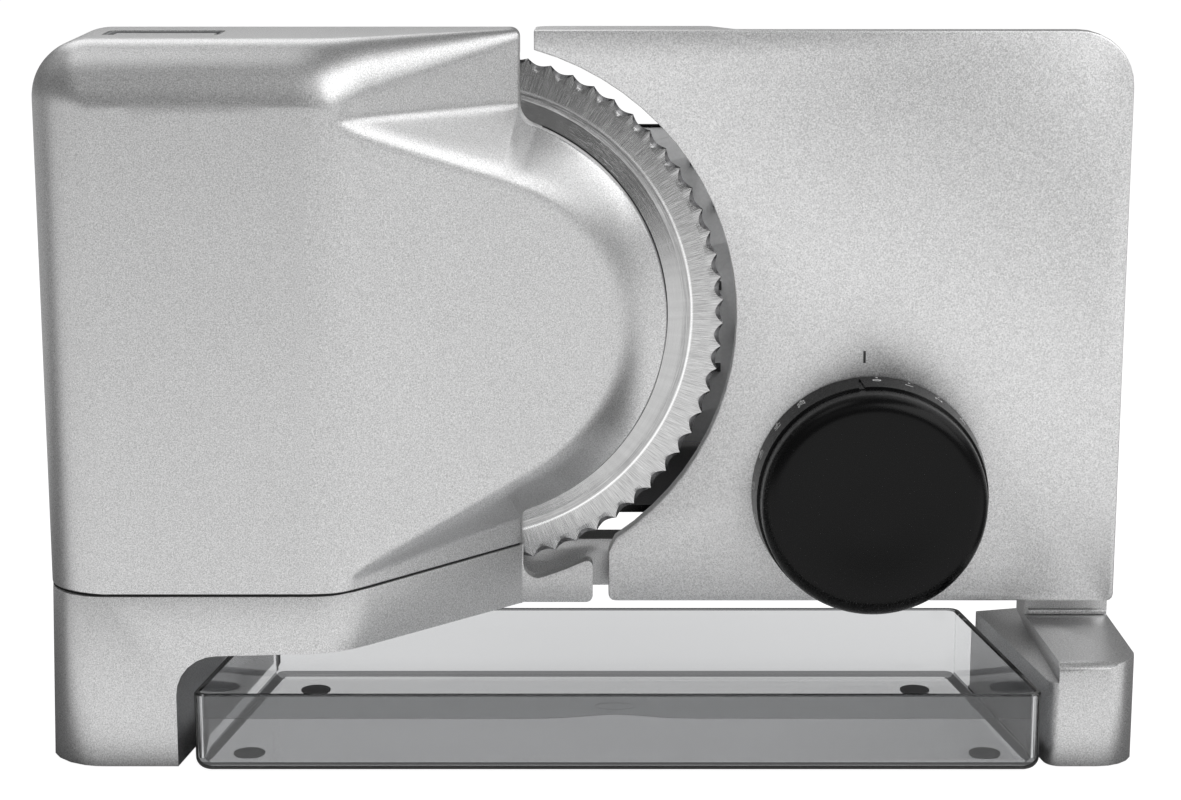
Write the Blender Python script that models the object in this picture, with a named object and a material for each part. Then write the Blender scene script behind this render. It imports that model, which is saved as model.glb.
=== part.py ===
"""Compact electric food slicer, in metres, +Z up, seen from the side where the slices come out.

Every size and place below is in the slicer's own frame: x = 0 and y = 0 on the blade's axis and
cutting plane, z = 0 on the table, +X to the viewer's right and +Y away from the viewer.
The empty slicer_frame then moves the whole slicer so that the world's origin is the bottom
centre of its bounding box.
"""

import math

import bmesh
import bpy
from mathutils import Matrix, Vector

# Clearances and helpers shared by all pieces
SEAT_GAP = 0.0003
RUNNING_GAP = 0.0006
OVERRUN = 0.002
SHARP_ANGLE = math.radians(32)
CIRCLE_SIDES = 28

# Blade
BLADE_DIP = 0.0071
BLADE_RADIUS = 0.085
BLADE_TEETH = 70
SCALLOP_DEPTH = 0.0014
BLADE_EDGE_THICKNESS = 0.0004
BLADE_BACK = 0.0006
BLADE_BEVEL_WIDTH = 0.0117
BLADE_BEVEL_DEPTH = 0.0010
BLADE_STEP_DEPTH = 0.0014
BLADE_BORE_RADIUS = 0.0058
BLADE_LOCK_RADIUS = 0.017
BLADE_LOCK_THICKNESS = 0.0024
LOCK_SLOT_WIDTH = 0.003
LOCK_SLOT_SHARE = 0.62
LOCK_STUD_RADIUS = 0.0025
LOCK_STUD_LENGTH = 0.010

# Motor housing
SIDE_LEFT = 0.1282
HOUSING_RIGHT = 0.0198
HOUSING_MARGIN = 0.0079
FACE_DEPTH = 0.061
EDGE_ROUND = 0.019
CORNER_ROUND = 0.018
CREASE_X = -0.038
CREASE_BLEND = 0.009
NOSE_SETBACK = 0.018
NOSE_EDGE_DEPTH = 0.012
CORNER_DEPTH = 0.0105
TIP_ROUND = 0.003
NOSE_TOP_FILLET = 0.007
NOSE_LOW_FILLET = 0.0025
RIDGE_SETBACK = 0.014
APEX_X = -0.036
APEX_TOP_MARGIN = 0.0026
APEX_LOW_MARGIN = 0.0074
SEAM_LEFT_DROP = 0.0002
SEAM_RIGHT_RISE = 0.0028
HOUSING_WALL = 0.0026
FACE_WALL_SHARE = 1.3
BLADE_POCKET_GAP = 0.0022
BLADE_POCKET_DEPTH = 0.0022
# Rings of a face: shares of the way from the ridge out to the outline, then from the middle to the ridge
OUTER_BAND_SHARES = (1, 0.94, 0.82, 0.6, 0.34, 0.15)
OUTER_FACE_SHARES = (1, 0.8, 0.58, 0.32)
INNER_BAND_SHARES = (1, 0.65, 0.25)
INNER_FACE_SHARES = (1, 0.5)
SCREW_BOSS_RADIUS = 0.0038

# Back cover, on the food side
COVER_THICKNESS = 0.005
SADDLE_THICKNESS = 0.005
SADDLE_RISE = 0.007
COVER_BOSS_RADIUS = 0.0115
WHEEL_BOSS_GAP = 0.0015
COVER_SCREW_RADIUS = 0.0036
COVER_SCREW_HEAD = 0.0022
COVER_SCREW_INSET = 0.012
COVER_SCREW_PILOT_RADIUS = 0.0016
COVER_SCREW_LENGTH = 0.009
SCREW_SLOT_SHARE = 0.7

# Drive: a worm on the motor's shaft turns a worm wheel on the blade's shaft
WHEEL_TEETH = 30
WHEEL_PITCH_RADIUS = 0.022
WHEEL_WIDTH = 0.009
WHEEL_WEB_SHARE = 0.5
WHEEL_RIM = 0.0035
WHEEL_HUB_RADIUS = 0.0095
WORM_PITCH_RADIUS = 0.006
WORM_LENGTH = 0.028
GEAR_ADDENDUM = 0.0012
GEAR_DEDENDUM = 0.0017
TOOTH_WIDTH_SHARE = 0.36
PRESSURE_SLOPE_SHARE = 0.364
BLADE_SHAFT_RADIUS = 0.006
BLADE_SHAFT_TAIL = 0.0015
BLADE_FLANGE_RADIUS = 0.015
BUSH_WALL = 0.0024

# Motor
CAN_GAP = 0.0005
CAN_LEFT = -0.108
CAN_RIGHT = -0.052
CAN_WALL = 0.002
ROTOR_RADIUS = 0.0025
ROTOR_BUSH_RADIUS = 0.0055
ROTOR_BUSH_LENGTH = 0.005
ARMATURE_GAP = 0.003
ARMATURE_SLOTS = 10
ARMATURE_SLOT_DEPTH = 0.0025
ARMATURE_TOOTH_SHARE = 0.7
ARMATURE_SLANT_SHARE = 0.02
ARMATURE_END_ROOM = 0.007
FAN_MARGIN = 0.002
FAN_HUB_RADIUS = 0.005
FAN_WIDTH = 0.005
FAN_BLADES = 9
FAN_BLADE_THICKNESS = 0.0012
FAN_LEFT = -0.1205
END_BUSH_X = 0.0150
POST_WALL = 0.0020
POST_GAP = 0.0005

# Switch in the housing's top face
SWITCH_LEFT = -0.1085
SWITCH_RIGHT = -0.0720
SWITCH_FRONT = 0.0315
SWITCH_BACK = 0.0150
SWITCH_WALL = 0.0012
SWITCH_BUTTON_MARGIN = 0.0024
SWITCH_BUTTON_SINK = 0.0006
SWITCH_BUTTON_THICKNESS = 0.0030
SWITCH_WELL_DEPTH = 0.011
SWITCH_TRAVEL = 0.0025
SWITCH_STEM = 0.004
SWITCH_STEM_LENGTH = 0.006
SWITCH_ROUND = 0.0022
SWITCH_SPRING_RADIUS = 0.0035
SWITCH_SPRING_WIRE = 0.0004
SWITCH_SPRING_TURNS = 3
SWITCH_MODULE_HEIGHT = 0.011
SWITCH_MODULE_LENGTH = 0.022
SWITCH_MODULE_WIDTH = 0.010

# Base
BASE_FLOOR = 0.0006
LEG_FLARE = 0.0016
BASE_BACK = 0.045
BASE_WALL = 0.003
LEG_INNER_X = -0.0875
ARCH_ROUND = 0.0130
SHELF_LEFT_DROP = 0.0197
SHELF_RIGHT_DROP = 0.0174
SIDE_TAPER_SHARE = 0.158
FASCIA_RIGHT = 0.043
FASCIA_DEPTH = 0.0095
FASCIA_THICKNESS = 0.0055
FASCIA_CORNER = 0.0022
HOOK_GAP = 0.0057
HOOK_TIP_X = 0.0405
HOOK_FILLET = 0.005
HOOK_TIP_ROUND = 0.0019
BLADE_SLOT_BACK = 0.006
BRIDGE_FLOOR_DROP = 0.0115
BEAM_FRONT = 0.006
BEAM_BACK = 0.018
BEAM_BOTTOM_DROP = 0.0160
BEAM_TOP = 0.0565
SHELF_RIBS = 3
RIB_THICKNESS = 0.002

# Right foot
FOOT_FRONT_LEFT = 0.1862
FOOT_FRONT_RIGHT = 0.2143
FOOT_BACK_RIGHT = 0.2149
FOOT_LEDGE_DROP = 0.0285
FOOT_LEDGE_BACK_X = 0.1735
FOOT_LEDGE_BACK = 0.0170
FOOT_TAIL_X = 0.1912
FOOT_TAIL_START = 0.0217
FOOT_LEFT_ROUND = 0.005
FOOT_RIGHT_ROUND = 0.013
FOOT_TAIL_ROUND = 0.0035
RIDGE_LEFT_FRONT = 0.1890
RIDGE_LEFT_BACK = 0.1874
RIDGE_FRONT_DROP = 0.0223
RIDGE_LIP = 0.0035
RIDGE_BACK_DROP = 0.0182
PILLAR_FRONT = 0.001

# Rubber feet under the base
PAD_RADIUS = 0.006
PAD_SEAT_DEPTH = 0.0022
PAD_FRONT = 0.048
PAD_BACK = 0.034
PAD_LEFT_X = -0.116
PAD_RIGHT_X = 0.2020

# Stop plate
PLATE_LEFT = 0.0243
PLATE_RIGHT = 0.2151
PLATE_TOP_DROP = 0.0006
PLATE_BOTTOM_DROP = 0.0175
PLATE_FRONT = 0.0080
PLATE_BACK = 0.0020
PLATE_SKIN = 0.0026
PLATE_RIM = 0.0030
PLATE_ARC_GAP = 0.0045
PLATE_TIP_DROP = 0.0047
PLATE_ROUND = 0.018
PLATE_FOOT_X = 0.0482
PLATE_FOOT_DROP = 0.00464
PLATE_FOOT_ROUND = 0.0022
PLATE_TRAVEL = 0.019
GUARD_LENGTH = 0.066
GUARD_BACK = 0.014
GUARD_THICKNESS = 0.0026
GUARD_ROUND = 0.005
GUARD_END_RUN = 0.010
LINING_THICKNESS = 0.0008
LINING_RISE = 0.0075
GUIDE_ROD_RADIUS = 0.004
GUIDE_ROD_DROP = 0.0095
GUIDE_ROD_LENGTH = 0.048
GUIDE_ROD_LEFT_X = 0.0800
GUIDE_ROD_RIGHT_X = 0.1720
GUIDE_BOSS_RADIUS = 0.0065

# Thickness knob: a barrel cam whose helical groove runs on a fixed pin
KNOB_X = 0.1337
KNOB_RISE = 0.0198
KNOB_BASE_RADIUS = 0.0387
KNOB_TAPER = 0.0022
KNOB_COLLAR = 0.0110
KNOB_STEP = 0.0006
KNOB_LENGTH = 0.0215
KNOB_WALL = 0.0026
KNOB_ROUND = 0.0035
KNOB_DOME = 0.0006
KNOB_TURN_DEGREES = 321
DRUM_RADIUS = 0.0200
DRUM_BORE = 0.0120
DRUM_TAIL = 0.0032
GROOVE_WIDTH = 0.0034
GROOVE_DEPTH = 0.0030
GROOVE_START = 0.0024
GROOVE_COLUMNS = 40
DRUM_CLOSING_COLUMNS = 5
CAM_PIN_RADIUS = 0.0014
CAM_BAR_WIDTH = 0.008
CAM_BAR_TOP_DROP = 0.0045
CAM_BAR_BOTTOM_DROP = 0.0115
CAM_SLOT_GAP = 0.0010

# Collecting tray
TRAY_FRONT = 0.0675
TRAY_BACK = 0.0270
TRAY_FRONT_LEFT = -0.0829
TRAY_FRONT_RIGHT = 0.1843
TRAY_RIM_DROP = 0.0302
TRAY_FLOOR_HEIGHT = 0.0006
TRAY_WALL = 0.0020
TRAY_CORNER = 0.004
TRAY_FOOT_ROUND = 0.0046
TRAY_ROUND_STEPS = 3
TRAY_PAD_RADIUS = 0.005
TRAY_PAD_INSET = 0.016

# Carriage, which carries the food along X
CARRIAGE_LEFT = -0.010
CARRIAGE_RIGHT = 0.150
CARRIAGE_FRONT = 0.0060
CARRIAGE_BACK = 0.104
CARRIAGE_RISE = 0.0092
CARRIAGE_THICKNESS = 0.0025
SHOE_LEFT = 0.070
SHOE_RIGHT = 0.140
SHOE_FLANGE = 0.0024
SHOE_HOOK_DEPTH = 0.0036
WALL_HEIGHT = 0.085
WALL_THICKNESS = 0.004
WALL_ROUND = 0.020
WALL_FRONT = 0.010
WALL_GROOVE = 0.0008

# Food holder, which rides on the carriage's wall
HOLDER_LEFT = 0.018
HOLDER_RIGHT = 0.132
HOLDER_FACE = 0.0925
HOLDER_THICKNESS = 0.003
HOLDER_RISE = 0.0508
HOLDER_LIFT = 0.0012
HOLDER_TRAVEL = 0.078
HOLDER_ARM_HEIGHT = 0.010
HOLDER_ARM_WALL = 0.0024
GRIP_WIDTH = 0.030
GRIP_DEPTH = 0.014
GRIP_HEIGHT = 0.062
GRIP_ROUND = 0.006
SPIKE_LENGTH = 0.0045
SPIKE_WIDTH = 0.0034
SPIKE_SPACING_X = 0.0170
SPIKE_SPACING_Z = 0.0150
SPIKE_COLUMNS = 6
SPIKE_ROWS = 7

# Cable inlet at the back of the leg
GLAND_X = -0.106
GLAND_HEIGHT = 0.024
GLAND_RADIUS = 0.007
GLAND_BORE = 0.0036
GLAND_LENGTH = 0.012
GLAND_COLLAR = 0.0022
GLAND_STEP = 0.0018

# Places worked out from the sizes above
AXIS = BEAM_TOP - BLADE_DIP + BLADE_RADIUS
HOUSING_TOP = AXIS + BLADE_RADIUS + HOUSING_MARGIN
NOSE_RADIUS = BLADE_RADIUS - NOSE_SETBACK
RIDGE_RADIUS = NOSE_RADIUS - RIDGE_SETBACK
APEX_RISE = NOSE_RADIUS + APEX_TOP_MARGIN
APEX_DROP = NOSE_RADIUS + APEX_LOW_MARGIN
BLADE_BEVEL_RADIUS = BLADE_RADIUS - BLADE_BEVEL_WIDTH
PLATE_TOP = HOUSING_TOP - PLATE_TOP_DROP
HOLDER_TOP = AXIS + HOLDER_RISE
PAD_HEIGHT = BASE_FLOOR + PAD_SEAT_DEPTH - SEAT_GAP
SEAM_LEFT_HEIGHT = BEAM_TOP - SEAM_LEFT_DROP
SEAM_RIGHT_HEIGHT = BEAM_TOP + SEAM_RIGHT_RISE
SHELF_UNDERSIDE = BEAM_TOP - SHELF_LEFT_DROP
SHELF_RIGHT_UNDERSIDE = BEAM_TOP - SHELF_RIGHT_DROP
BRIDGE_FLOOR_TOP = BEAM_TOP - BRIDGE_FLOOR_DROP
BEAM_BOTTOM = BEAM_TOP - BEAM_BOTTOM_DROP
FOOT_LEDGE_HEIGHT = BEAM_TOP - FOOT_LEDGE_DROP
RIDGE_FRONT_HEIGHT = BEAM_TOP - RIDGE_FRONT_DROP
RIDGE_BACK_HEIGHT = BEAM_TOP - RIDGE_BACK_DROP
PLATE_BOTTOM = BEAM_TOP - PLATE_BOTTOM_DROP
LINING_BOTTOM = BEAM_TOP + LINING_RISE
GUIDE_ROD_HEIGHT = BEAM_TOP - GUIDE_ROD_DROP
KNOB_HEIGHT = BEAM_TOP + KNOB_RISE
CAM_BAR_TOP = BEAM_TOP - CAM_BAR_TOP_DROP
CAM_BAR_BOTTOM = BEAM_TOP - CAM_BAR_BOTTOM_DROP
TRAY_RIM_HEIGHT = BEAM_TOP - TRAY_RIM_DROP
CARRIAGE_BOTTOM = BEAM_TOP + CARRIAGE_RISE
BLADE_POCKET_RADIUS = BLADE_RADIUS + BLADE_POCKET_GAP
FRAME_X = (PLATE_RIGHT - SIDE_LEFT - LEG_FLARE) / 2
HOLDER_BACK = HOLDER_FACE + HOLDER_THICKNESS + GRIP_DEPTH
FRAME_Y = (HOLDER_BACK - TRAY_FRONT) / 2
FACE_SLOPE = (FACE_DEPTH - NOSE_EDGE_DEPTH) / (NOSE_RADIUS - CREASE_X)
SEAM_SLOPE = (SEAM_RIGHT_HEIGHT - SEAM_LEFT_HEIGHT) / (HOUSING_RIGHT - CREASE_X)
PLATE_ARC_RADIUS = BLADE_RADIUS + PLATE_ARC_GAP
HOOK_RADIUS = BLADE_RADIUS + HOOK_GAP
GEAR_PITCH = 2 * math.pi * WHEEL_PITCH_RADIUS / WHEEL_TEETH
MOTOR_HEIGHT = AXIS - WHEEL_PITCH_RADIUS - WORM_PITCH_RADIUS
# The drive lies as deep as the sloping face over the worm's end leaves room for
END_BUSH_COVER = HOUSING_WALL * FACE_WALL_SHARE + POST_GAP + POST_WALL + ROTOR_BUSH_RADIUS
END_FACE_DEPTH = FACE_DEPTH - FACE_SLOPE * (END_BUSH_X + ROTOR_BUSH_LENGTH - CREASE_X)
MOTOR_DEPTH = END_FACE_DEPTH - END_BUSH_COVER
COVER_BOSS_LENGTH = MOTOR_DEPTH - WHEEL_WIDTH / 2 - WHEEL_BOSS_GAP - COVER_THICKNESS
CAN_RADIUS = MOTOR_DEPTH - COVER_THICKNESS - CAN_GAP
ARMATURE_RADIUS = CAN_RADIUS - CAN_WALL - ARMATURE_GAP
FAN_RADIUS = CAN_RADIUS - FAN_MARGIN
HOLDER_ARM_LENGTH = HOLDER_FACE + HOLDER_THICKNESS - HOLDER_TRAVEL - CARRIAGE_FRONT
CARRIAGE_TOP = CARRIAGE_BOTTOM + CARRIAGE_THICKNESS
KNOB_FACE_RADIUS = KNOB_BASE_RADIUS - KNOB_TAPER
KNOB_FRONT = PLATE_FRONT + SEAT_GAP + KNOB_LENGTH

COLOURS = {
    "silver_paint": ((0.62, 0.62, 0.62), 0.42, 0.55),
    "inner_plastic": ((0.30, 0.31, 0.32), 0.55, 0.0),
    "blade_steel": ((0.55, 0.55, 0.56), 0.22, 1.0),
    "machined_steel": ((0.52, 0.52, 0.53), 0.35, 1.0),
    "bush_brass": ((0.72, 0.55, 0.28), 0.35, 1.0),
    "motor_steel": ((0.40, 0.41, 0.42), 0.45, 1.0),
    "copper_winding": ((0.65, 0.32, 0.16), 0.40, 0.9),
    "black_plastic": ((0.020, 0.020, 0.021), 0.38, 0.0),
    "smoke_clear": ((0.30, 0.31, 0.32), 0.08, 0.0),
    "holder_plastic": ((0.62, 0.63, 0.64), 0.30, 0.0),
    "rubber": ((0.03, 0.03, 0.03), 0.85, 0.0),
    "gear_plastic": ((0.86, 0.85, 0.80), 0.45, 0.0),
}


def finish(name):
    """The named material, made once."""
    material = bpy.data.materials.get(name)
    if material is None:
        colour, roughness, metallic = COLOURS[name]
        material = bpy.data.materials.new(name)
        material.use_nodes = True
        shader = material.node_tree.nodes["Principled BSDF"]
        shader.inputs["Base Color"].default_value = (*colour, 1.0)
        shader.inputs["Roughness"].default_value = roughness
        shader.inputs["Metallic"].default_value = metallic
        material.diffuse_color = (*colour, 1.0)
    return material


def clear_scene():
    """Removes the objects of the startup scene."""
    for obj in list(bpy.data.objects):
        bpy.data.objects.remove(obj, do_unlink=True)


def raw(points, faces, name="raw"):
    """A closed mesh object from points in the slicer's frame."""
    mesh = bpy.data.meshes.new(name)
    work = bmesh.new()
    corners = [work.verts.new(point) for point in points]
    for face in faces:
        work.faces.new([corners[i] for i in face])
    bmesh.ops.recalc_face_normals(work, faces=work.faces)
    work.to_mesh(mesh)
    work.free()
    obj = bpy.data.objects.new(name, mesh)
    bpy.context.collection.objects.link(obj)
    return obj


def prism(outline, start, end, along):
    """An outline drawn square to the axis ALONG, pushed from START to END.

    The outline's pairs are (x, z) along y, (x, y) along z, and (y, z) along x."""
    place = {
        "x": lambda a, b, c: (c, a, b),
        "y": lambda a, b, c: (a, c, b),
        "z": lambda a, b, c: (a, b, c),
    }[along]
    count = len(outline)
    points = [place(a, b, start) for a, b in outline] + [place(a, b, end) for a, b in outline]
    faces = [tuple(range(count)), tuple(range(count, 2 * count))]
    for i in range(count):
        j = (i + 1) % count
        faces.append((i, j, count + j, count + i))
    return raw(points, faces)


def block(low, high):
    """A plain box between two corners, as a raw shape for joins and cuts."""
    outline = [(low[0], low[1]), (high[0], low[1]), (high[0], high[1]), (low[0], high[1])]
    return prism(outline, low[2], high[2], "z")


def lofted(rings):
    """A closed body through rings of points, capped at the first and the last."""
    count = len(rings[0])
    points = [point for ring_points in rings for point in ring_points]
    last = (len(rings) - 1) * count
    faces = [tuple(range(count)), tuple(range(last, last + count))]
    for level in range(len(rings) - 1):
        a, b = level * count, (level + 1) * count
        for i in range(count):
            j = (i + 1) % count
            faces.append((a + i, a + j, b + j, b + i))
    return raw(points, faces)


def turned(profile, centre, along, sides=CIRCLE_SIDES):
    """A closed profile of (radius, distance) turned about the axis ALONG through CENTRE.

    A radius of 0 is a point on the axis."""
    middle = Vector(centre)
    basis = {
        "x": (Vector((0, 1, 0)), Vector((0, 0, 1)), Vector((1, 0, 0))),
        "y": (Vector((1, 0, 0)), Vector((0, 0, 1)), Vector((0, 1, 0))),
        "z": (Vector((1, 0, 0)), Vector((0, 1, 0)), Vector((0, 0, 1))),
    }[along]
    points, rows = [], []
    for radius, distance in profile:
        if radius == 0:
            rows.append([len(points)] * sides)
            points.append(middle + basis[2] * distance)
            continue
        rows.append(list(range(len(points), len(points) + sides)))
        for k in range(sides):
            turn = 2 * math.pi * k / sides
            arm = basis[0] * math.cos(turn) + basis[1] * math.sin(turn)
            points.append(middle + arm * radius + basis[2] * distance)
    faces = []
    closed = profile[0][0] != 0 or profile[-1][0] != 0
    pairs = list(zip(rows, rows[1:])) + ([(rows[-1], rows[0])] if closed else [])
    for low, high in pairs:
        for k in range(sides):
            n = (k + 1) % sides
            face = list(dict.fromkeys((low[k], low[n], high[n], high[k])))
            if len(face) > 2:
                faces.append(face)
    return raw(points, faces)


def disc(radius, centre, along, start, end, sides=CIRCLE_SIDES):
    """A plain cylinder from START to END along the axis, counted from CENTRE."""
    return turned([(0, start), (radius, start), (radius, end), (0, end)], centre, along, sides)


def ring(outer, inner, centre, along, start, end, sides=CIRCLE_SIDES):
    """A tube from START to END along the axis."""
    profile = [(inner, start), (outer, start), (outer, end), (inner, end)]
    return turned(profile, centre, along, sides)


def settled(obj):
    """Fixes OBJ's modifiers into its mesh."""
    graph = bpy.context.evaluated_depsgraph_get()
    graph.update()
    old = obj.data
    obj.data = bpy.data.meshes.new_from_object(obj.evaluated_get(graph))
    obj.modifiers.clear()
    bpy.data.meshes.remove(old)
    return obj


def boolean(body, other, operation):
    """Joins, cuts or keeps the common part of BODY and OTHER, and removes OTHER."""
    step = body.modifiers.new(operation.lower(), "BOOLEAN")
    step.operation = operation
    step.object = other
    step.solver = "EXACT"
    settled(body)
    bpy.data.objects.remove(other, do_unlink=True)
    return body


def joined(body, *others):
    for other in others:
        boolean(body, other, "UNION")
    return body


def cut(body, *others):
    for other in others:
        boolean(body, other, "DIFFERENCE")
    return body


def common(body, other):
    return boolean(body, other, "INTERSECT")


def rounded(obj, width, segments=2, angle=math.radians(50)):
    """Rounds the edges that turn by more than ANGLE."""
    step = obj.modifiers.new("round", "BEVEL")
    step.width = width
    step.segments = segments
    step.limit_method = "ANGLE"
    step.angle_limit = angle
    step.use_clamp_overlap = True
    return settled(obj)


def carrier(name, place, parent=None):
    """The empty that a body hangs on: its place is on the body's joint axis."""
    empty = bpy.data.objects.new(name, None)
    empty.empty_display_size = PAD_RADIUS
    bpy.context.collection.objects.link(empty)
    empty.parent = parent
    start = parent["place"] if parent else (0, 0, 0)
    empty.location = [a - b for a, b in zip(place, start)]
    empty["place"] = place
    return empty


def hang(obj, name, material, empty, place=None):
    """Names OBJ, gives it its finish, and hangs it on EMPTY with its origin at PLACE."""
    origin = Vector(place) if place else Vector(empty["place"])
    obj.data.transform(Matrix.Translation(-origin))
    obj.name = name
    obj.data.name = name
    obj.parent = empty
    obj.location = origin - Vector(empty["place"])
    obj.data.materials.clear()
    obj.data.materials.append(finish(material))
    obj.data.shade_smooth()
    obj.data.set_sharp_from_angle(angle=SHARP_ANGLE)
    return obj


def run(start, end, count):
    """COUNT points from START towards END, END left out."""
    return [
        tuple(a + (b - a) * i / count for a, b in zip(start, end)) for i in range(count)
    ]


def arc(centre, radius, first, last, count):
    """COUNT + 1 points of an arc, from the angle FIRST to LAST in degrees."""
    points = []
    for i in range(count + 1):
        turn = math.radians(first + (last - first) * i / count)
        points.append((centre[0] + radius * math.cos(turn), centre[1] + radius * math.sin(turn)))
    return points


def rounded_outline(corners, radii, count=4):
    """A polygon whose corners are rounded, each with its own radius."""
    points = []
    total = len(corners)
    for i, (corner, radius) in enumerate(zip(corners, radii)):
        here = Vector(corner)
        before = (Vector(corners[i - 1]) - here).normalized()
        after = (Vector(corners[(i + 1) % total]) - here).normalized()
        if radius == 0:
            points.append(tuple(here))
            continue
        half = before.angle(after) / 2
        reach = radius / math.tan(half)
        middle = here + (before + after).normalized() * radius / math.sin(half)
        first, last = here + before * reach - middle, here + after * reach - middle
        sweep = first.angle_signed(last)
        for k in range(count + 1):
            spoke = first.copy()
            spoke.rotate(Matrix.Rotation(-sweep * k / count, 2))
            points.append(tuple(middle + spoke))
    return points


# The housing's face, shared by the housing and the base below it


def seam_height(x):
    """The height of the seam between the housing and the base."""
    return SEAM_LEFT_HEIGHT + SEAM_SLOPE * max(0, x - CREASE_X)


def ramp(distance):
    """0 before the crease and the distance after it, blended over CREASE_BLEND each way."""
    if distance < -CREASE_BLEND:
        return 0
    if distance > CREASE_BLEND:
        return distance
    return (distance + CREASE_BLEND) ** 2 / (4 * CREASE_BLEND)


def valley_depth(x):
    """The depth of the facets above and below the nose, and of the base's slanted face."""
    slope = (FACE_DEPTH - CORNER_DEPTH) / (HOUSING_RIGHT - APEX_X)
    return max(CORNER_DEPTH, FACE_DEPTH - slope * ramp(x - APEX_X))


def fillet_rise(fillet):
    """How far above or below the axis the middle of a fillet beside the nose lies."""
    return math.sqrt((NOSE_RADIUS + fillet) ** 2 - (HOUSING_RIGHT + fillet) ** 2)


def front_stations(inset):
    """Where the front is sampled along x, from the left edge, over its round and the crease, to the end."""
    left, right = -SIDE_LEFT + inset, HOUSING_RIGHT - inset
    stations = [left + (EDGE_ROUND - inset) * (1 - share) for share in OUTER_BAND_SHARES + (0,)]
    crease = [APEX_X + CREASE_BLEND * step / 2 for step in range(-2, 3)]
    stations += [stations[-1] + (crease[0] - stations[-1]) * share / 4 for share in range(1, 4)]
    stations += crease
    stations += [crease[-1] + (right - crease[-1]) * share / 3 for share in range(1, 4)]
    return stations


def band_share(x, z):
    """0 inside the ridge that runs from the crease round the nose, 1 from the fold outwards.

    Both are found on the ray from the blade's axis: the ridge is a line from the apex that
    meets a circle, and the fold is a line from the apex to the corner where the nose begins."""
    upper = z > AXIS
    fillet = NOSE_TOP_FILLET if upper else NOSE_LOW_FILLET
    apex = Vector((APEX_X, APEX_RISE if upper else APEX_DROP))
    corner = Vector((HOUSING_RIGHT, fillet_rise(fillet)))
    turn = math.atan2(abs(z - AXIS), x)
    apex_turn = math.atan2(apex.y, apex.x)
    if x <= APEX_X or turn >= apex_turn:
        return 0
    lean = apex_turn - math.acos(RIDGE_RADIUS / apex.length)
    ridge = RIDGE_RADIUS / math.cos(max(0, turn - lean))
    corner_turn = math.atan2(corner.y, corner.x)
    touch_turn = math.atan2(corner.y, corner.x + fillet)
    if turn > corner_turn:
        side = apex - corner
        fold = corner.cross(side) / Vector((math.cos(turn), math.sin(turn))).cross(side)
    else:
        share = max(0, turn - touch_turn) / (corner_turn - touch_turn)
        fold = NOSE_RADIUS + (corner.length - NOSE_RADIUS) * share
    return min(1, max(0, (math.hypot(x, z - AXIS) - ridge) / (fold - ridge)))


def front_depth(x, z):
    """How far the housing's face stands in front of the cutting plane."""
    slope = FACE_DEPTH - FACE_SLOPE * ramp(x - CREASE_X)
    valley = min(slope, valley_depth(x))
    depth = slope + (valley - slope) * band_share(x, z)
    from_left, from_top = x + SIDE_LEFT, HOUSING_TOP - z
    inside = min(from_left, from_top)
    if max(from_left, from_top) < CORNER_ROUND:
        inside = CORNER_ROUND - math.hypot(CORNER_ROUND - from_left, CORNER_ROUND - from_top)
    radius = EDGE_ROUND * valley / FACE_DEPTH
    if inside < radius:
        inside = max(0, inside)
        depth -= radius - math.sqrt(radius**2 - (radius - inside) ** 2)
    return depth


def housing_outline(inset):
    """The housing's outline in (x, z), counter-clockwise from the bottom left, pulled in by INSET."""
    left, right, top = -SIDE_LEFT + inset, HOUSING_RIGHT - inset, HOUSING_TOP - inset
    nose, low_fillet, top_fillet = NOSE_RADIUS - inset, NOSE_LOW_FILLET + inset, NOSE_TOP_FILLET + inset
    low_rise, top_rise = fillet_rise(NOSE_LOW_FILLET), fillet_rise(NOSE_TOP_FILLET)
    low_middle = (HOUSING_RIGHT + NOSE_LOW_FILLET, AXIS - low_rise)
    top_middle = (HOUSING_RIGHT + NOSE_TOP_FILLET, AXIS + top_rise)
    low_turn = math.degrees(math.atan2(low_rise, low_middle[0]))
    top_turn = math.degrees(math.atan2(top_rise, top_middle[0]))
    bottom = [(x, seam_height(x) + inset) for x in front_stations(inset)]
    corner = CORNER_ROUND - inset
    tip = max(TIP_ROUND - inset, SEAT_GAP)
    points = bottom + run(bottom[-1], (right, low_middle[1]), 2)[1:]
    points += arc(low_middle, low_fillet, 180, 180 - low_turn, 2)
    points += arc((0, AXIS), nose, -low_turn, top_turn, 20)[1:]
    points += arc(top_middle, top_fillet, 180 + top_turn, 180, 4)[1:]
    points += run((right, top_middle[1]), (right, top - tip), 3)[1:]
    points += arc((right - tip, top - tip), tip, 0, 90, 3)
    points += run((right - tip, top), (left + corner, top), 7)[1:]
    points += arc((left + corner, top - corner), corner, 90, 180, 6)
    points += run((left, top - corner), bottom[0], 7)[1:]
    return points


def ridge_share(middle, end):
    """How far out from MIDDLE to END the ridge lies, or the edge's round where there is no ridge."""
    if band_share(*end) == 0:
        return 1 - EDGE_ROUND * valley_depth(end[0]) / FACE_DEPTH / math.dist(middle, end)
    inside, outside = 0, 1
    for step in range(CIRCLE_SIDES):
        share = (inside + outside) / 2
        x, z = (a + (b - a) * share for a, b in zip(middle, end))
        if band_share(x, z) > 0:
            outside = share
        else:
            inside = share
    return inside


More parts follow.
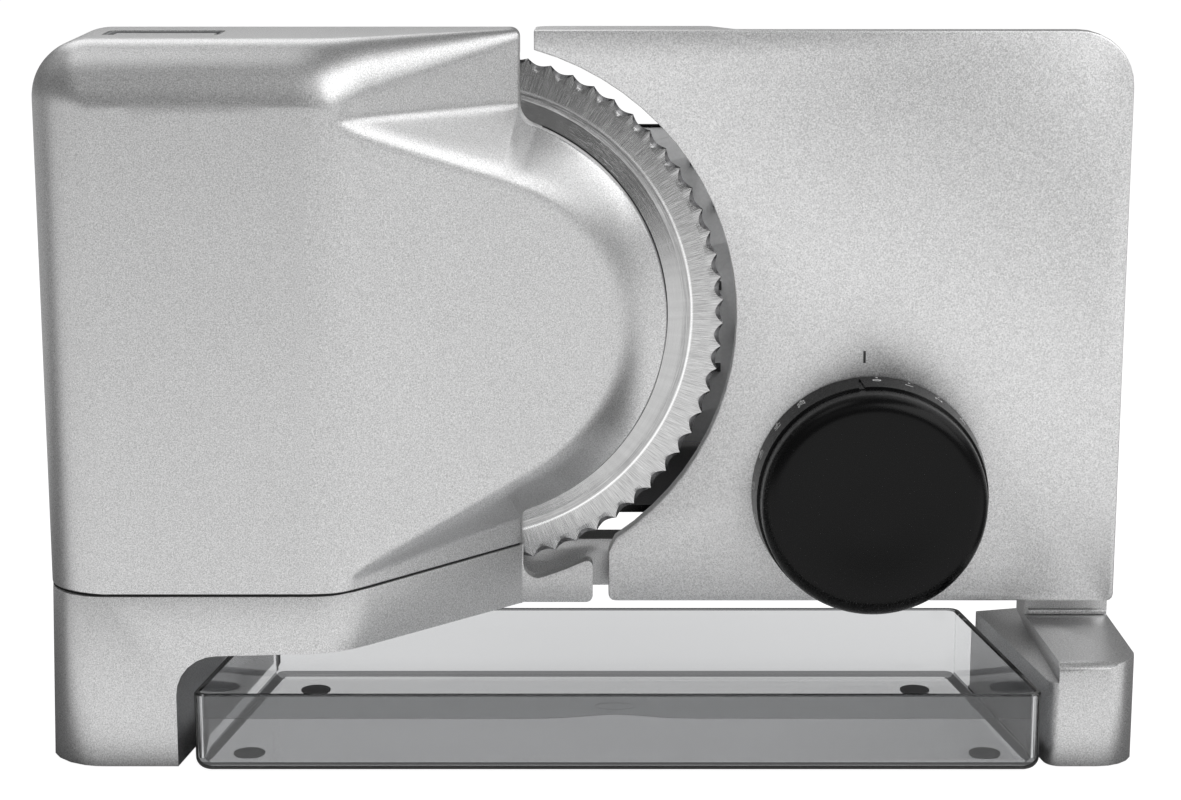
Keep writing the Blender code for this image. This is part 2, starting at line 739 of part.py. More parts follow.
def face_fan(outline, lift, back, band_shares, face_shares):
    """A closed body: the housing's face over OUTLINE, set back by LIFT, with a flat back at y = BACK."""
    middle = (CREASE_X, AXIS)
    rays = []
    for x, z in outline:
        ridge = ridge_share(middle, (x, z))
        shares = [ridge + (1 - ridge) * share for share in band_shares]
        shares += [ridge * share for share in face_shares]
        ray = [(middle[0] + (x - middle[0]) * s, middle[1] + (z - middle[1]) * s) for s in shares]
        rays.append([(a, lift - front_depth(a, b), b) for a, b in ray])
    count, rings = len(rays), len(rays[0])
    points = [point for ray in rays for point in ray]
    points.append((middle[0], lift - front_depth(*middle), middle[1]))
    points += [(x, back, z) for x, z in outline]
    tip, base = count * rings, count * rings + 1
    faces = [tuple(base + i for i in range(count))]
    for i in range(count):
        j = (i + 1) % count
        for k in range(rings - 1):
            faces.append((i * rings + k, j * rings + k, j * rings + k + 1, i * rings + k + 1))
        faces.append((i * rings + rings - 1, j * rings + rings - 1, tip))
        faces.append((i * rings, j * rings, base + j, base + i))
    return raw(points, faces)


def blade_pocket():
    """What the blade's disc, with room to turn, takes out of the housing and its cover."""
    return disc(
        BLADE_POCKET_RADIUS, (0, 0, AXIS), "y", -BLADE_POCKET_DEPTH, BLADE_SLOT_BACK, 2 * CIRCLE_SIDES
    )


def slot_outline(margin):
    """The switch's rounded opening in (x, y), pulled in by MARGIN."""
    left, right = SWITCH_LEFT + margin, SWITCH_RIGHT - margin
    front, back = -SWITCH_FRONT + margin, -SWITCH_BACK - margin
    corners = [(left, front), (right, front), (right, back), (left, back)]
    return rounded_outline(corners, [max(SWITCH_ROUND - margin / 2, SEAT_GAP)] * 4, 3)


def screw_places():
    """Where the back cover is screwed to the housing, in (x, z)."""
    left = -SIDE_LEFT + COVER_SCREW_INSET
    top = HOUSING_TOP - COVER_SCREW_INSET
    low = SEAM_LEFT_HEIGHT + COVER_SCREW_INSET
    return [(left, low), (left, top), (CREASE_X - COVER_SCREW_INSET / 2, top), (left, AXIS)]


def make_housing(frame):
    """The moulded motor housing: one shell, open at the back, with the switch's opening in its top."""
    shell = face_fan(housing_outline(0), 0, 0, OUTER_BAND_SHARES, OUTER_FACE_SHARES)
    inner, lift = housing_outline(HOUSING_WALL), HOUSING_WALL * FACE_WALL_SHARE
    cut(shell, face_fan(inner, lift, OVERRUN, INNER_BAND_SHARES, INNER_FACE_SHARES))
    for x, z in screw_places():
        rim = arc((x, z), SCREW_BOSS_RADIUS, 0, 360, 8)
        face = HOUSING_WALL / 2 - min(front_depth(*point) for point in rim)
        boss_end = -COVER_THICKNESS - SEAT_GAP
        joined(shell, disc(SCREW_BOSS_RADIUS, (x, 0, z), "y", face, boss_end, 12))
        pilot = COVER_SCREW_PILOT_RADIUS + SEAT_GAP
        cut(shell, disc(pilot, (x, 0, z), "y", -COVER_SCREW_LENGTH - SEAT_GAP, OVERRUN, 12))
    depth = 2 * HOUSING_WALL + OVERRUN
    cut(shell, prism(slot_outline(0), HOUSING_TOP - depth, HOUSING_TOP + OVERRUN, "z"))
    cut(shell, blade_pocket())
    hang(shell, "motor_housing", "silver_paint", frame)


def make_switch(frame):
    """The switch: a framed slot in the top face, a rocker bar on a spring, and the switch under it."""
    top = HOUSING_TOP
    outer, inner = slot_outline(SEAT_GAP), slot_outline(SWITCH_WALL)
    bezel = prism(outer, top - SWITCH_WELL_DEPTH, top - SEAT_GAP, "z")
    floor = top - SWITCH_WELL_DEPTH + SWITCH_WALL
    cut(bezel, prism(inner, floor, top + OVERRUN, "z"))
    x, y = (SWITCH_LEFT + SWITCH_RIGHT) / 2, -(SWITCH_FRONT + SWITCH_BACK) / 2
    cut(bezel, disc(SWITCH_STEM / 2 + RUNNING_GAP, (x, y, 0), "z", floor - 2 * SWITCH_WALL, top, 16))
    hang(bezel, "switch_bezel", "inner_plastic", frame)

    rest = (x, y, top - SWITCH_BUTTON_SINK)
    slide = carrier("switch_slide", rest, frame)
    low = top - SWITCH_BUTTON_SINK - SWITCH_BUTTON_THICKNESS
    button = prism(slot_outline(SWITCH_BUTTON_MARGIN), low, top - SWITCH_BUTTON_SINK, "z")
    stem_end = floor - SWITCH_WALL - SEAT_GAP
    joined(button, disc(SWITCH_STEM / 2, (x, y, 0), "z", stem_end, low + SEAT_GAP, 16))
    hang(rounded(button, SWITCH_WALL / 3, 1), "switch_button", "silver_paint", slide)

    points, faces = [], []
    start, end = floor + SWITCH_SPRING_WIRE + SEAT_GAP, low - SWITCH_SPRING_WIRE - SEAT_GAP
    steps, sides = SWITCH_SPRING_TURNS * 12, 5
    for i in range(steps + 1):
        turn = 2 * math.pi * SWITCH_SPRING_TURNS * i / steps
        height = start + (end - start) * i / steps
        for k in range(sides):
            tilt = 2 * math.pi * k / sides
            radius = SWITCH_SPRING_RADIUS + SWITCH_SPRING_WIRE * math.cos(tilt)
            rise = SWITCH_SPRING_WIRE * math.sin(tilt)
            points.append((x + radius * math.cos(turn), y + radius * math.sin(turn), height + rise))
    for i in range(steps):
        for k in range(sides):
            n = (k + 1) % sides
            faces.append((i * sides + k, i * sides + n, (i + 1) * sides + n, (i + 1) * sides + k))
    faces += [tuple(range(sides)), tuple(range(steps * sides, (steps + 1) * sides))]
    hang(raw(points, faces), "switch_spring", "machined_steel", frame)

    shelf = top - SWITCH_WELL_DEPTH - SEAT_GAP
    half_length, half_width = SWITCH_MODULE_LENGTH / 2, SWITCH_MODULE_WIDTH / 2
    module = block(
        (x - half_length, y - half_width, shelf - SWITCH_MODULE_HEIGHT),
        (x + half_length, y + half_width, shelf),
    )
    well = SWITCH_TRAVEL + SWITCH_STEM_LENGTH / 2
    cut(module, disc(SWITCH_STEM / 2 + RUNNING_GAP, (x, y, 0), "z", shelf - well, top, 16))
    hang(module, "micro_switch", "black_plastic", frame)


def make_back_cover(frame):
    """The flat wall on the food side, with the blade's pocket, the shaft's boss and the motor's saddles."""
    outline = housing_outline(HOUSING_WALL + SEAT_GAP)
    cover = prism(outline, -COVER_THICKNESS, 0, "y")
    inner = -COVER_THICKNESS + SEAT_GAP
    boss_end = -COVER_THICKNESS - COVER_BOSS_LENGTH
    joined(cover, disc(COVER_BOSS_RADIUS, (0, 0, AXIS), "y", boss_end, inner))
    reach = MOTOR_DEPTH + SADDLE_RISE
    for x, radius in ((CAN_LEFT + SADDLE_RISE, CAN_RADIUS), (CAN_RIGHT - SADDLE_RISE, CAN_RADIUS)):
        low, high = MOTOR_HEIGHT - radius - SADDLE_RISE / 2, MOTOR_HEIGHT + radius + SADDLE_RISE / 2
        saddle = block(
            (x - SADDLE_THICKNESS / 2, -reach, low), (x + SADDLE_THICKNESS / 2, inner, high)
        )
        cut(saddle, disc(radius + SEAT_GAP, (x, -MOTOR_DEPTH, MOTOR_HEIGHT), "x", -reach, reach))
        mouth = radius - SADDLE_RISE / 4
        cut(
            saddle,
            block(
                (x - reach, -2 * reach, MOTOR_HEIGHT - mouth),
                (x + reach, -MOTOR_DEPTH, MOTOR_HEIGHT + mouth),
            ),
        )
        joined(cover, saddle)
    half = ROTOR_BUSH_RADIUS + POST_WALL
    post = block(
        (END_BUSH_X, -MOTOR_DEPTH - half, MOTOR_HEIGHT - half),
        (END_BUSH_X + ROTOR_BUSH_LENGTH, inner, MOTOR_HEIGHT + half),
    )
    joined(cover, post)
    bush_seat = ROTOR_BUSH_RADIUS + SEAT_GAP
    middle = (END_BUSH_X, -MOTOR_DEPTH, MOTOR_HEIGHT)
    cut(cover, disc(bush_seat, middle, "x", -OVERRUN, ROTOR_BUSH_LENGTH + OVERRUN))
    cut(cover, blade_pocket())
    seat = BLADE_SHAFT_RADIUS + RUNNING_GAP + BUSH_WALL + SEAT_GAP
    cut(cover, disc(seat, (0, 0, AXIS), "y", boss_end - OVERRUN, OVERRUN, CIRCLE_SIDES + 8))
    for x, z in screw_places():
        cut(cover, disc(COVER_SCREW_RADIUS + SEAT_GAP, (x, 0, z), "y", -COVER_SCREW_HEAD, OVERRUN, 16))
        cut(cover, disc(COVER_SCREW_PILOT_RADIUS + SEAT_GAP, (x, 0, z), "y", -reach, OVERRUN, 12))
    hang(cover, "back_cover", "silver_paint", frame)


def make_screws(frame):
    """The screws that hold the back cover, one object each."""
    slot = COVER_SCREW_HEAD / 2
    for number, (x, z) in enumerate(screw_places(), 1):
        profile = [
            (0, SEAT_GAP - COVER_SCREW_LENGTH),
            (COVER_SCREW_PILOT_RADIUS, SEAT_GAP - COVER_SCREW_LENGTH),
            (COVER_SCREW_PILOT_RADIUS, SEAT_GAP - COVER_SCREW_HEAD),
            (COVER_SCREW_RADIUS, SEAT_GAP - COVER_SCREW_HEAD),
            (COVER_SCREW_RADIUS, -SEAT_GAP),
            (0, -SEAT_GAP),
        ]
        screw = turned(profile, (x, 0, z), "y", 12)
        reach, width = COVER_SCREW_RADIUS * SCREW_SLOT_SHARE, COVER_SCREW_RADIUS / 4
        cut(screw, block((x - reach, -slot, z - width), (x + reach, OVERRUN, z + width)))
        hang(screw, f"cover_screw_{number}", "machined_steel", frame, (x, 0, z))


def wheel_outline():
    """The worm wheel's toothed outline in (x, z) about its axis, with a gap at the bottom."""
    half_pitch = GEAR_PITCH * TOOTH_WIDTH_SHARE / 2
    outline = []
    for tooth in range(WHEEL_TEETH):
        middle = -math.pi / 2 + math.pi * (2 * tooth + 1) / WHEEL_TEETH
        for rise, side in ((-1, -1), (1, -1), (1, 1), (-1, 1)):
            height = GEAR_ADDENDUM if rise > 0 else -GEAR_DEDENDUM
            half = half_pitch - height * PRESSURE_SLOPE_SHARE
            radius = WHEEL_PITCH_RADIUS + height
            outline.append((radius, middle + side * half / radius))
    return outline


def make_drive_gear(blade_spin):
    """The worm wheel: leaning teeth on a thin web round a hub."""
    lean = GEAR_PITCH / (2 * math.pi * WORM_PITCH_RADIUS)
    front, back = -MOTOR_DEPTH - WHEEL_WIDTH / 2, -MOTOR_DEPTH + WHEEL_WIDTH / 2
    rings = []
    for y in (front, back):
        twist = -lean * (y + MOTOR_DEPTH) / WHEEL_PITCH_RADIUS
        spokes = [(radius, turn + twist) for radius, turn in wheel_outline()]
        rings.append([(r * math.cos(turn), y, AXIS + r * math.sin(turn)) for r, turn in spokes])
    wheel = lofted(rings)
    web = WHEEL_WIDTH * WHEEL_WEB_SHARE / 2
    rim = WHEEL_PITCH_RADIUS - GEAR_DEDENDUM - WHEEL_RIM
    for start, end in ((front - OVERRUN, -MOTOR_DEPTH - web), (-MOTOR_DEPTH + web, back + OVERRUN)):
        cut(wheel, ring(rim, WHEEL_HUB_RADIUS, (0, 0, AXIS), "y", start, end))
    cut(wheel, disc(BLADE_SHAFT_RADIUS + SEAT_GAP, (0, 0, AXIS), "y", front - OVERRUN, back + OVERRUN))
    hang(wheel, "drive_gear", "gear_plastic", blade_spin)


def make_blade_shaft(blade_spin):
    """The blade's shaft with the flange that the blade seats on, and the brass bush that it turns in."""
    tail = -MOTOR_DEPTH - WHEEL_WIDTH / 2 - BLADE_SHAFT_TAIL
    seat = -BLADE_STEP_DEPTH - SEAT_GAP
    flange = -BLADE_POCKET_DEPTH + SEAT_GAP
    pilot = BLADE_BORE_RADIUS - SEAT_GAP
    bore = LOCK_STUD_RADIUS + SEAT_GAP
    profile = [
        (0, tail),
        (BLADE_SHAFT_RADIUS, tail),
        (BLADE_SHAFT_RADIUS, flange),
        (BLADE_FLANGE_RADIUS, flange),
        (BLADE_FLANGE_RADIUS, seat),
        (pilot, seat),
        (pilot, BLADE_BACK - SEAT_GAP),
        (bore, BLADE_BACK - SEAT_GAP),
        (bore, -LOCK_STUD_LENGTH),
        (0, -LOCK_STUD_LENGTH),
    ]
    hang(turned(profile, (0, 0, AXIS), "y"), "blade_shaft", "machined_steel", blade_spin)


def make_blade_bush(frame):
    inner = BLADE_SHAFT_RADIUS + RUNNING_GAP
    start = -COVER_THICKNESS - COVER_BOSS_LENGTH
    bush = ring(inner + BUSH_WALL, inner, (0, 0, AXIS), "y", start, -BLADE_POCKET_DEPTH - SEAT_GAP)
    hang(bush, "blade_bush", "bush_brass", frame)


def make_blade(blade_spin):
    """The serrated round blade: a flat back, a hollow bevel in front and scallops round its edge."""
    edge_front = BLADE_BACK - BLADE_EDGE_THICKNESS
    per_tooth = 4
    count = BLADE_TEETH * per_tooth
    rim = []
    for i in range(count):
        share = (i % per_tooth) / per_tooth
        dip = SCALLOP_DEPTH * math.sin(math.pi * share) ** 2
        turn = 2 * math.pi * i / count
        rim.append((math.cos(turn), math.sin(turn), BLADE_RADIUS - dip))
    bevel = BLADE_BEVEL_DEPTH
    loops = [
        [(c * r, edge_front, AXIS + s * r) for c, s, r in rim],
        [(c * r, BLADE_BACK, AXIS + s * r) for c, s, r in rim],
    ]
    sides = BLADE_TEETH

    def circle(radius, y):
        turns = [2 * math.pi * k / sides for k in range(sides)]
        return [(radius * math.cos(t), y, AXIS + radius * math.sin(t)) for t in turns]

    rings = [
        circle(BLADE_BEVEL_RADIUS, -bevel),
        circle(BLADE_BEVEL_RADIUS - SCALLOP_DEPTH, -BLADE_STEP_DEPTH),
        circle(BLADE_BORE_RADIUS, -BLADE_STEP_DEPTH),
        circle(BLADE_BORE_RADIUS, BLADE_BACK),
    ]
    points = loops[0] + loops[1] + [point for loop in rings for point in loop]
    faces = []
    for i in range(count):
        j = (i + 1) % count
        faces.append((i, j, count + j, count + i))
    first = 2 * count
    step = per_tooth

    def bridge(rim_start, ring_start):
        """Joins the scalloped rim to a plainer ring."""
        for k in range(sides):
            n = (k + 1) % sides
            rim_run = [rim_start + (k * step + i) % count for i in range(step + 1)]
            half = step // 2
            a, b = ring_start + k, ring_start + n
            for i in range(step):
                faces.append((rim_run[i], rim_run[i + 1], a if i < half else b))
            faces.append((rim_run[half], b, a))

    bridge(0, first)
    for level in range(3):
        a, b = first + level * sides, first + (level + 1) * sides
        for k in range(sides):
            n = (k + 1) % sides
            faces.append((a + k, a + n, b + n, b + k))
    bridge(count, first + 3 * sides)
    hang(raw(points, faces), "blade", "blade_steel", blade_spin)


def make_blade_lock(blade_spin):
    """The slotted cap that holds the blade, turned with a coin from the food side."""
    seat = BLADE_BACK + SEAT_GAP
    face = seat + BLADE_LOCK_THICKNESS
    stud_end = -LOCK_STUD_LENGTH + OVERRUN
    profile = [
        (0, stud_end),
        (LOCK_STUD_RADIUS, stud_end),
        (LOCK_STUD_RADIUS, seat),
        (BLADE_LOCK_RADIUS, seat),
        (BLADE_LOCK_RADIUS, seat + BLADE_LOCK_THICKNESS / 3),
        (BLADE_LOCK_RADIUS - BLADE_LOCK_THICKNESS, face),
        (0, face),
    ]
    lock = turned(profile, (0, 0, AXIS), "y")
    half, reach = LOCK_SLOT_WIDTH / 2, BLADE_LOCK_RADIUS * LOCK_SLOT_SHARE
    mouth = face - BLADE_LOCK_THICKNESS / 2
    cut(lock, block((-reach, mouth, AXIS - half), (reach, face + OVERRUN, AXIS + half)))
    hang(lock, "blade_lock", "machined_steel", blade_spin)


def make_motor(frame, motor_spin):
    """The motor lying along X: can, bushes, armature, fan, and the shaft with the worm cut on it."""
    centre = (0, -MOTOR_DEPTH, MOTOR_HEIGHT)
    seat = ROTOR_BUSH_RADIUS + SEAT_GAP
    inner = CAN_RADIUS - CAN_WALL
    can = turned(
        [
            (seat, CAN_LEFT),
            (CAN_RADIUS, CAN_LEFT),
            (CAN_RADIUS, CAN_RIGHT),
            (seat, CAN_RIGHT),
            (seat, CAN_RIGHT - CAN_WALL),
            (inner, CAN_RIGHT - CAN_WALL),
            (inner, CAN_LEFT + CAN_WALL),
            (seat, CAN_LEFT + CAN_WALL),
        ],
        centre,
        "x",
    )
    hang(can, "motor_can", "motor_steel", frame)
    bore = ROTOR_RADIUS + RUNNING_GAP / 2
    bushes = {
        "motor_bush_left": CAN_LEFT,
        "motor_bush_right": CAN_RIGHT - ROTOR_BUSH_LENGTH,
        "worm_end_bush": END_BUSH_X,
    }
    for name, start in bushes.items():
        bush = ring(ROTOR_BUSH_RADIUS, bore, centre, "x", start, start + ROTOR_BUSH_LENGTH, 20)
        hang(bush, name, "bush_brass", frame)

    sides, outline = ARMATURE_SLOTS, []
    for slot in range(sides):
        for share, radius in (
            (0, ARMATURE_RADIUS),
            (ARMATURE_TOOTH_SHARE, ARMATURE_RADIUS),
            (ARMATURE_TOOTH_SHARE + ARMATURE_SLANT_SHARE, ARMATURE_RADIUS - ARMATURE_SLOT_DEPTH),
            (1 - ARMATURE_SLANT_SHARE, ARMATURE_RADIUS - ARMATURE_SLOT_DEPTH),
        ):
            turn = 2 * math.pi * (slot + share) / sides
            outline.append(
                (-MOTOR_DEPTH + radius * math.cos(turn), MOTOR_HEIGHT + radius * math.sin(turn))
            )
    start, end = CAN_LEFT + ARMATURE_END_ROOM, CAN_RIGHT - ARMATURE_END_ROOM
    armature = prism(outline, start, end, "x")
    cut(armature, disc(ROTOR_RADIUS + SEAT_GAP, centre, "x", start - OVERRUN, end + OVERRUN, 16))
    hang(armature, "motor_armature", "copper_winding", motor_spin)

    fan = ring(FAN_HUB_RADIUS, ROTOR_RADIUS + SEAT_GAP, centre, "x", FAN_LEFT, FAN_LEFT + FAN_WIDTH, 18)
    for number in range(FAN_BLADES):
        vane = block(
            (FAN_LEFT, -FAN_BLADE_THICKNESS / 2, FAN_HUB_RADIUS - FAN_BLADE_THICKNESS),
            (FAN_LEFT + FAN_WIDTH, FAN_BLADE_THICKNESS / 2, FAN_RADIUS),
        )
        turn = Matrix.Rotation(2 * math.pi * number / FAN_BLADES, 4, "X")
        vane.data.transform(Matrix.Translation(Vector(centre)) @ turn)
        joined(fan, vane)
    hang(fan, "cooling_fan", "black_plastic", motor_spin)
    hang(worm_shaft(centre), "worm_shaft", "machined_steel", motor_spin)


def worm_shaft(centre):
    """A round shaft along X whose middle carries a right-handed thread, centred on the wheel."""
    sides = 16
    half = WORM_LENGTH / 2
    left, right = FAN_LEFT, END_BUSH_X + ROTOR_BUSH_LENGTH
    half_tip = GEAR_PITCH * TOOTH_WIDTH_SHARE / 2 - GEAR_ADDENDUM * PRESSURE_SLOPE_SHARE
    half_root = GEAR_PITCH * TOOTH_WIDTH_SHARE / 2 + GEAR_DEDENDUM * PRESSURE_SLOPE_SHARE
    tip, root = WORM_PITCH_RADIUS + GEAR_ADDENDUM, WORM_PITCH_RADIUS - GEAR_DEDENDUM
    turns = int(WORM_LENGTH / GEAR_PITCH) - 1
    columns = []
    for k in range(sides):
        angle = 2 * math.pi * k / sides
        # A thread's middle stands over the axis, at a quarter turn, where the wheel has a gap
        phase = GEAR_PITCH * (k / sides - 1 / 4)
        column = [(0, left), (ROTOR_RADIUS, left), (ROTOR_RADIUS, -half), (root, -half)]
        for turn in range(turns):
            middle = phase + GEAR_PITCH * (turn - turns // 2)
            column += [
                (root, middle - half_root),
                (tip, middle - half_tip),
                (tip, middle + half_tip),
                (root, middle + half_root),
            ]
        column += [(root, half), (ROTOR_RADIUS, half), (ROTOR_RADIUS, right), (0, right)]
        columns.append([(x, radius, angle) for radius, x in column])
    return thread_body(columns, centre, 4, turns)


def thread_body(columns, centre, first, turns):
    """Skins the columns of points round the shaft: each thread row joins the next one up at the seam."""
    sides, rows = len(columns), len(columns[0])
    points, index = [], {}

    def corner(k, row):
        key = (0, row) if columns[k][row][1] == 0 else (k, row)
        if key not in index:
            x, radius, angle = columns[k][row]
            index[key] = len(points)
            points.append(
                (x, centre[1] + radius * math.cos(angle), centre[2] + radius * math.sin(angle))
            )
        return index[key]

    faces = []
    last = first + 4 * turns - 1
    for k in range(sides - 1):
        for row in range(rows - 1):
            face = (corner(k, row), corner(k, row + 1), corner(k + 1, row + 1), corner(k + 1, row))
            faces.append(list(dict.fromkeys(face)))
    end, start = sides - 1, 0
    for row in range(rows - 1):
        if row < first - 1 or row > last:
            face = (corner(end, row), corner(end, row + 1), corner(start, row + 1), corner(start, row))
            faces.append(list(dict.fromkeys(face)))
    # The seam: row r of the last column runs on into row r + 4 of the first
    faces.append(
        [corner(end, first - 1), corner(end, first)]
        + [corner(start, first + i) for i in range(4, -2, -1)]
    )
    for row in range(first, last - 4):
        faces.append([corner(end, row), corner(end, row + 1), corner(start, row + 5), corner(start, row + 4)])
    faces.append(
        [corner(start, last), corner(start, last + 1), corner(end, last + 1)]
        + [corner(end, last - i) for i in range(5)]
    )
    return raw(points, faces)


# Base


def plan_outline(back, flare):
    """The front of the leg and bridge from above, closed at y = BACK, its side moved out by FLARE."""
    points = [(-SIDE_LEFT - flare, back)]
    for x in front_stations(0):
        from_left = x + SIDE_LEFT
        depth = valley_depth(x)
        if from_left < EDGE_ROUND:
            depth -= EDGE_ROUND - math.sqrt(EDGE_ROUND**2 - (EDGE_ROUND - from_left) ** 2)
        points.append((x - flare, -depth))
    right = HOUSING_RIGHT
    return [(min(x, right), y) for x, y in points] + [(right, -CORNER_DEPTH), (right, back)]


def leg_outline():
    """The leg and its arch, seen from the front."""
    middle = (LEG_INNER_X + ARCH_ROUND, SHELF_UNDERSIDE - ARCH_ROUND)
    end, top = middle[0] + OVERRUN, SEAM_LEFT_HEIGHT - SEAT_GAP
    side = -SIDE_LEFT - LEG_FLARE - OVERRUN
    return (
        [(side, BASE_FLOOR), (LEG_INNER_X, BASE_FLOOR)]
        + arc(middle, ARCH_ROUND, 180, 90, 6)
        + [(end, SHELF_UNDERSIDE), (end, top), (side, top)]
    )


def bridge_outline():
    """The bridge under the housing, seen from the front."""
    start = LEG_INNER_X + ARCH_ROUND
    top = [(x, seam_height(x) - SEAT_GAP) for x in (HOUSING_RIGHT, CREASE_X, start)]
    return [(start, SHELF_UNDERSIDE), (HOUSING_RIGHT, SHELF_RIGHT_UNDERSIDE)] + top


def fascia_outline():
    """The thin tongue beside the bridge, with its hook round the blade's lower edge."""

    def hook_height(x):
        return AXIS - math.sqrt(HOOK_RADIUS**2 - x**2)

    root, low, corner = HOUSING_RIGHT - OVERRUN, SHELF_RIGHT_UNDERSIDE, FASCIA_CORNER
    top = seam_height(HOUSING_RIGHT) - SEAT_GAP
    tip_middle = (FASCIA_RIGHT - HOOK_TIP_ROUND, hook_height(HOOK_TIP_X) - HOOK_TIP_ROUND)
    start = HOUSING_RIGHT + SEAT_GAP + HOOK_FILLET
    steps = 5
    xs = [HOOK_TIP_X + (start - HOOK_TIP_X) * i / steps for i in range(1, steps)]
    return (
        [(root, low)]
        + arc((FASCIA_RIGHT - corner, low + corner), corner, -90, 0, 4)
        + arc(tip_middle, HOOK_TIP_ROUND, 0, 110, 4)
        + [(x, hook_height(x)) for x in xs]
        + arc((start, hook_height(start) + HOOK_FILLET), HOOK_FILLET, 270, 180, 4)
        + [(start - HOOK_FILLET, top), (root, top)]
    )


def foot_plan():
    """The right foot seen from above."""
    corners = [
        (FOOT_FRONT_LEFT, -FACE_DEPTH),
        (FOOT_FRONT_RIGHT, -FACE_DEPTH),
        (FOOT_BACK_RIGHT, -PILLAR_FRONT),
        (FOOT_BACK_RIGHT, BASE_BACK),
        (FOOT_TAIL_X, BASE_BACK),
        (FOOT_TAIL_X, FOOT_TAIL_START),
        (FOOT_LEDGE_BACK_X, FOOT_LEDGE_BACK),
    ]
    radii = [FOOT_LEFT_ROUND, FOOT_RIGHT_ROUND, 0, FOOT_TAIL_ROUND, FOOT_TAIL_ROUND, 0, 0]
    return rounded_outline(corners, radii, 5)


def make_foot():
    """The right foot: a low ledge beside the tray, a raised ridge, and the pillar under the beam's end."""
    ledge = prism(foot_plan(), BASE_FLOOR, FOOT_LEDGE_HEIGHT, "z")
    ridge = prism(foot_plan(), BASE_FLOOR, BEAM_TOP, "z")
    front, lip = -FACE_DEPTH, RIDGE_LIP
    profile = [(front - OVERRUN, 0), (front - OVERRUN, RIDGE_FRONT_HEIGHT - lip)]
    profile += arc((front + lip, RIDGE_FRONT_HEIGHT - lip), lip, 180, 90, 3)
    profile += [(BEAM_FRONT, RIDGE_BACK_HEIGHT), (BEAM_FRONT, 0)]
    common(ridge, prism(profile, RIDGE_LEFT_BACK - lip, FOOT_BACK_RIGHT + OVERRUN, "x"))
    beside = [
        (FOOT_FRONT_LEFT - lip, -FACE_DEPTH - OVERRUN),
        (RIDGE_LEFT_FRONT, -FACE_DEPTH - OVERRUN),
        (RIDGE_LEFT_BACK, PILLAR_FRONT),
        (RIDGE_LEFT_BACK, BASE_BACK),
        (FOOT_LEDGE_BACK_X - lip, BASE_BACK),
    ]
    cut(ridge, prism(beside, FOOT_LEDGE_HEIGHT - RIDGE_LIP, BEAM_TOP, "z"))
    pillar = block(
        (RIDGE_LEFT_BACK + SEAT_GAP, PILLAR_FRONT, FOOT_LEDGE_HEIGHT / 2),
        (FOOT_BACK_RIGHT, BEAM_BACK, BEAM_TOP),
    )
    return joined(ledge, ridge, pillar)


def pad_places():
    """Where the rubber feet sit, in (x, y)."""
    return [
        (PAD_LEFT_X, -PAD_FRONT),
        (PAD_RIGHT_X, -PAD_FRONT),
        (PAD_LEFT_X, PAD_BACK),
        (PAD_RIGHT_X, PAD_BACK),
    ]


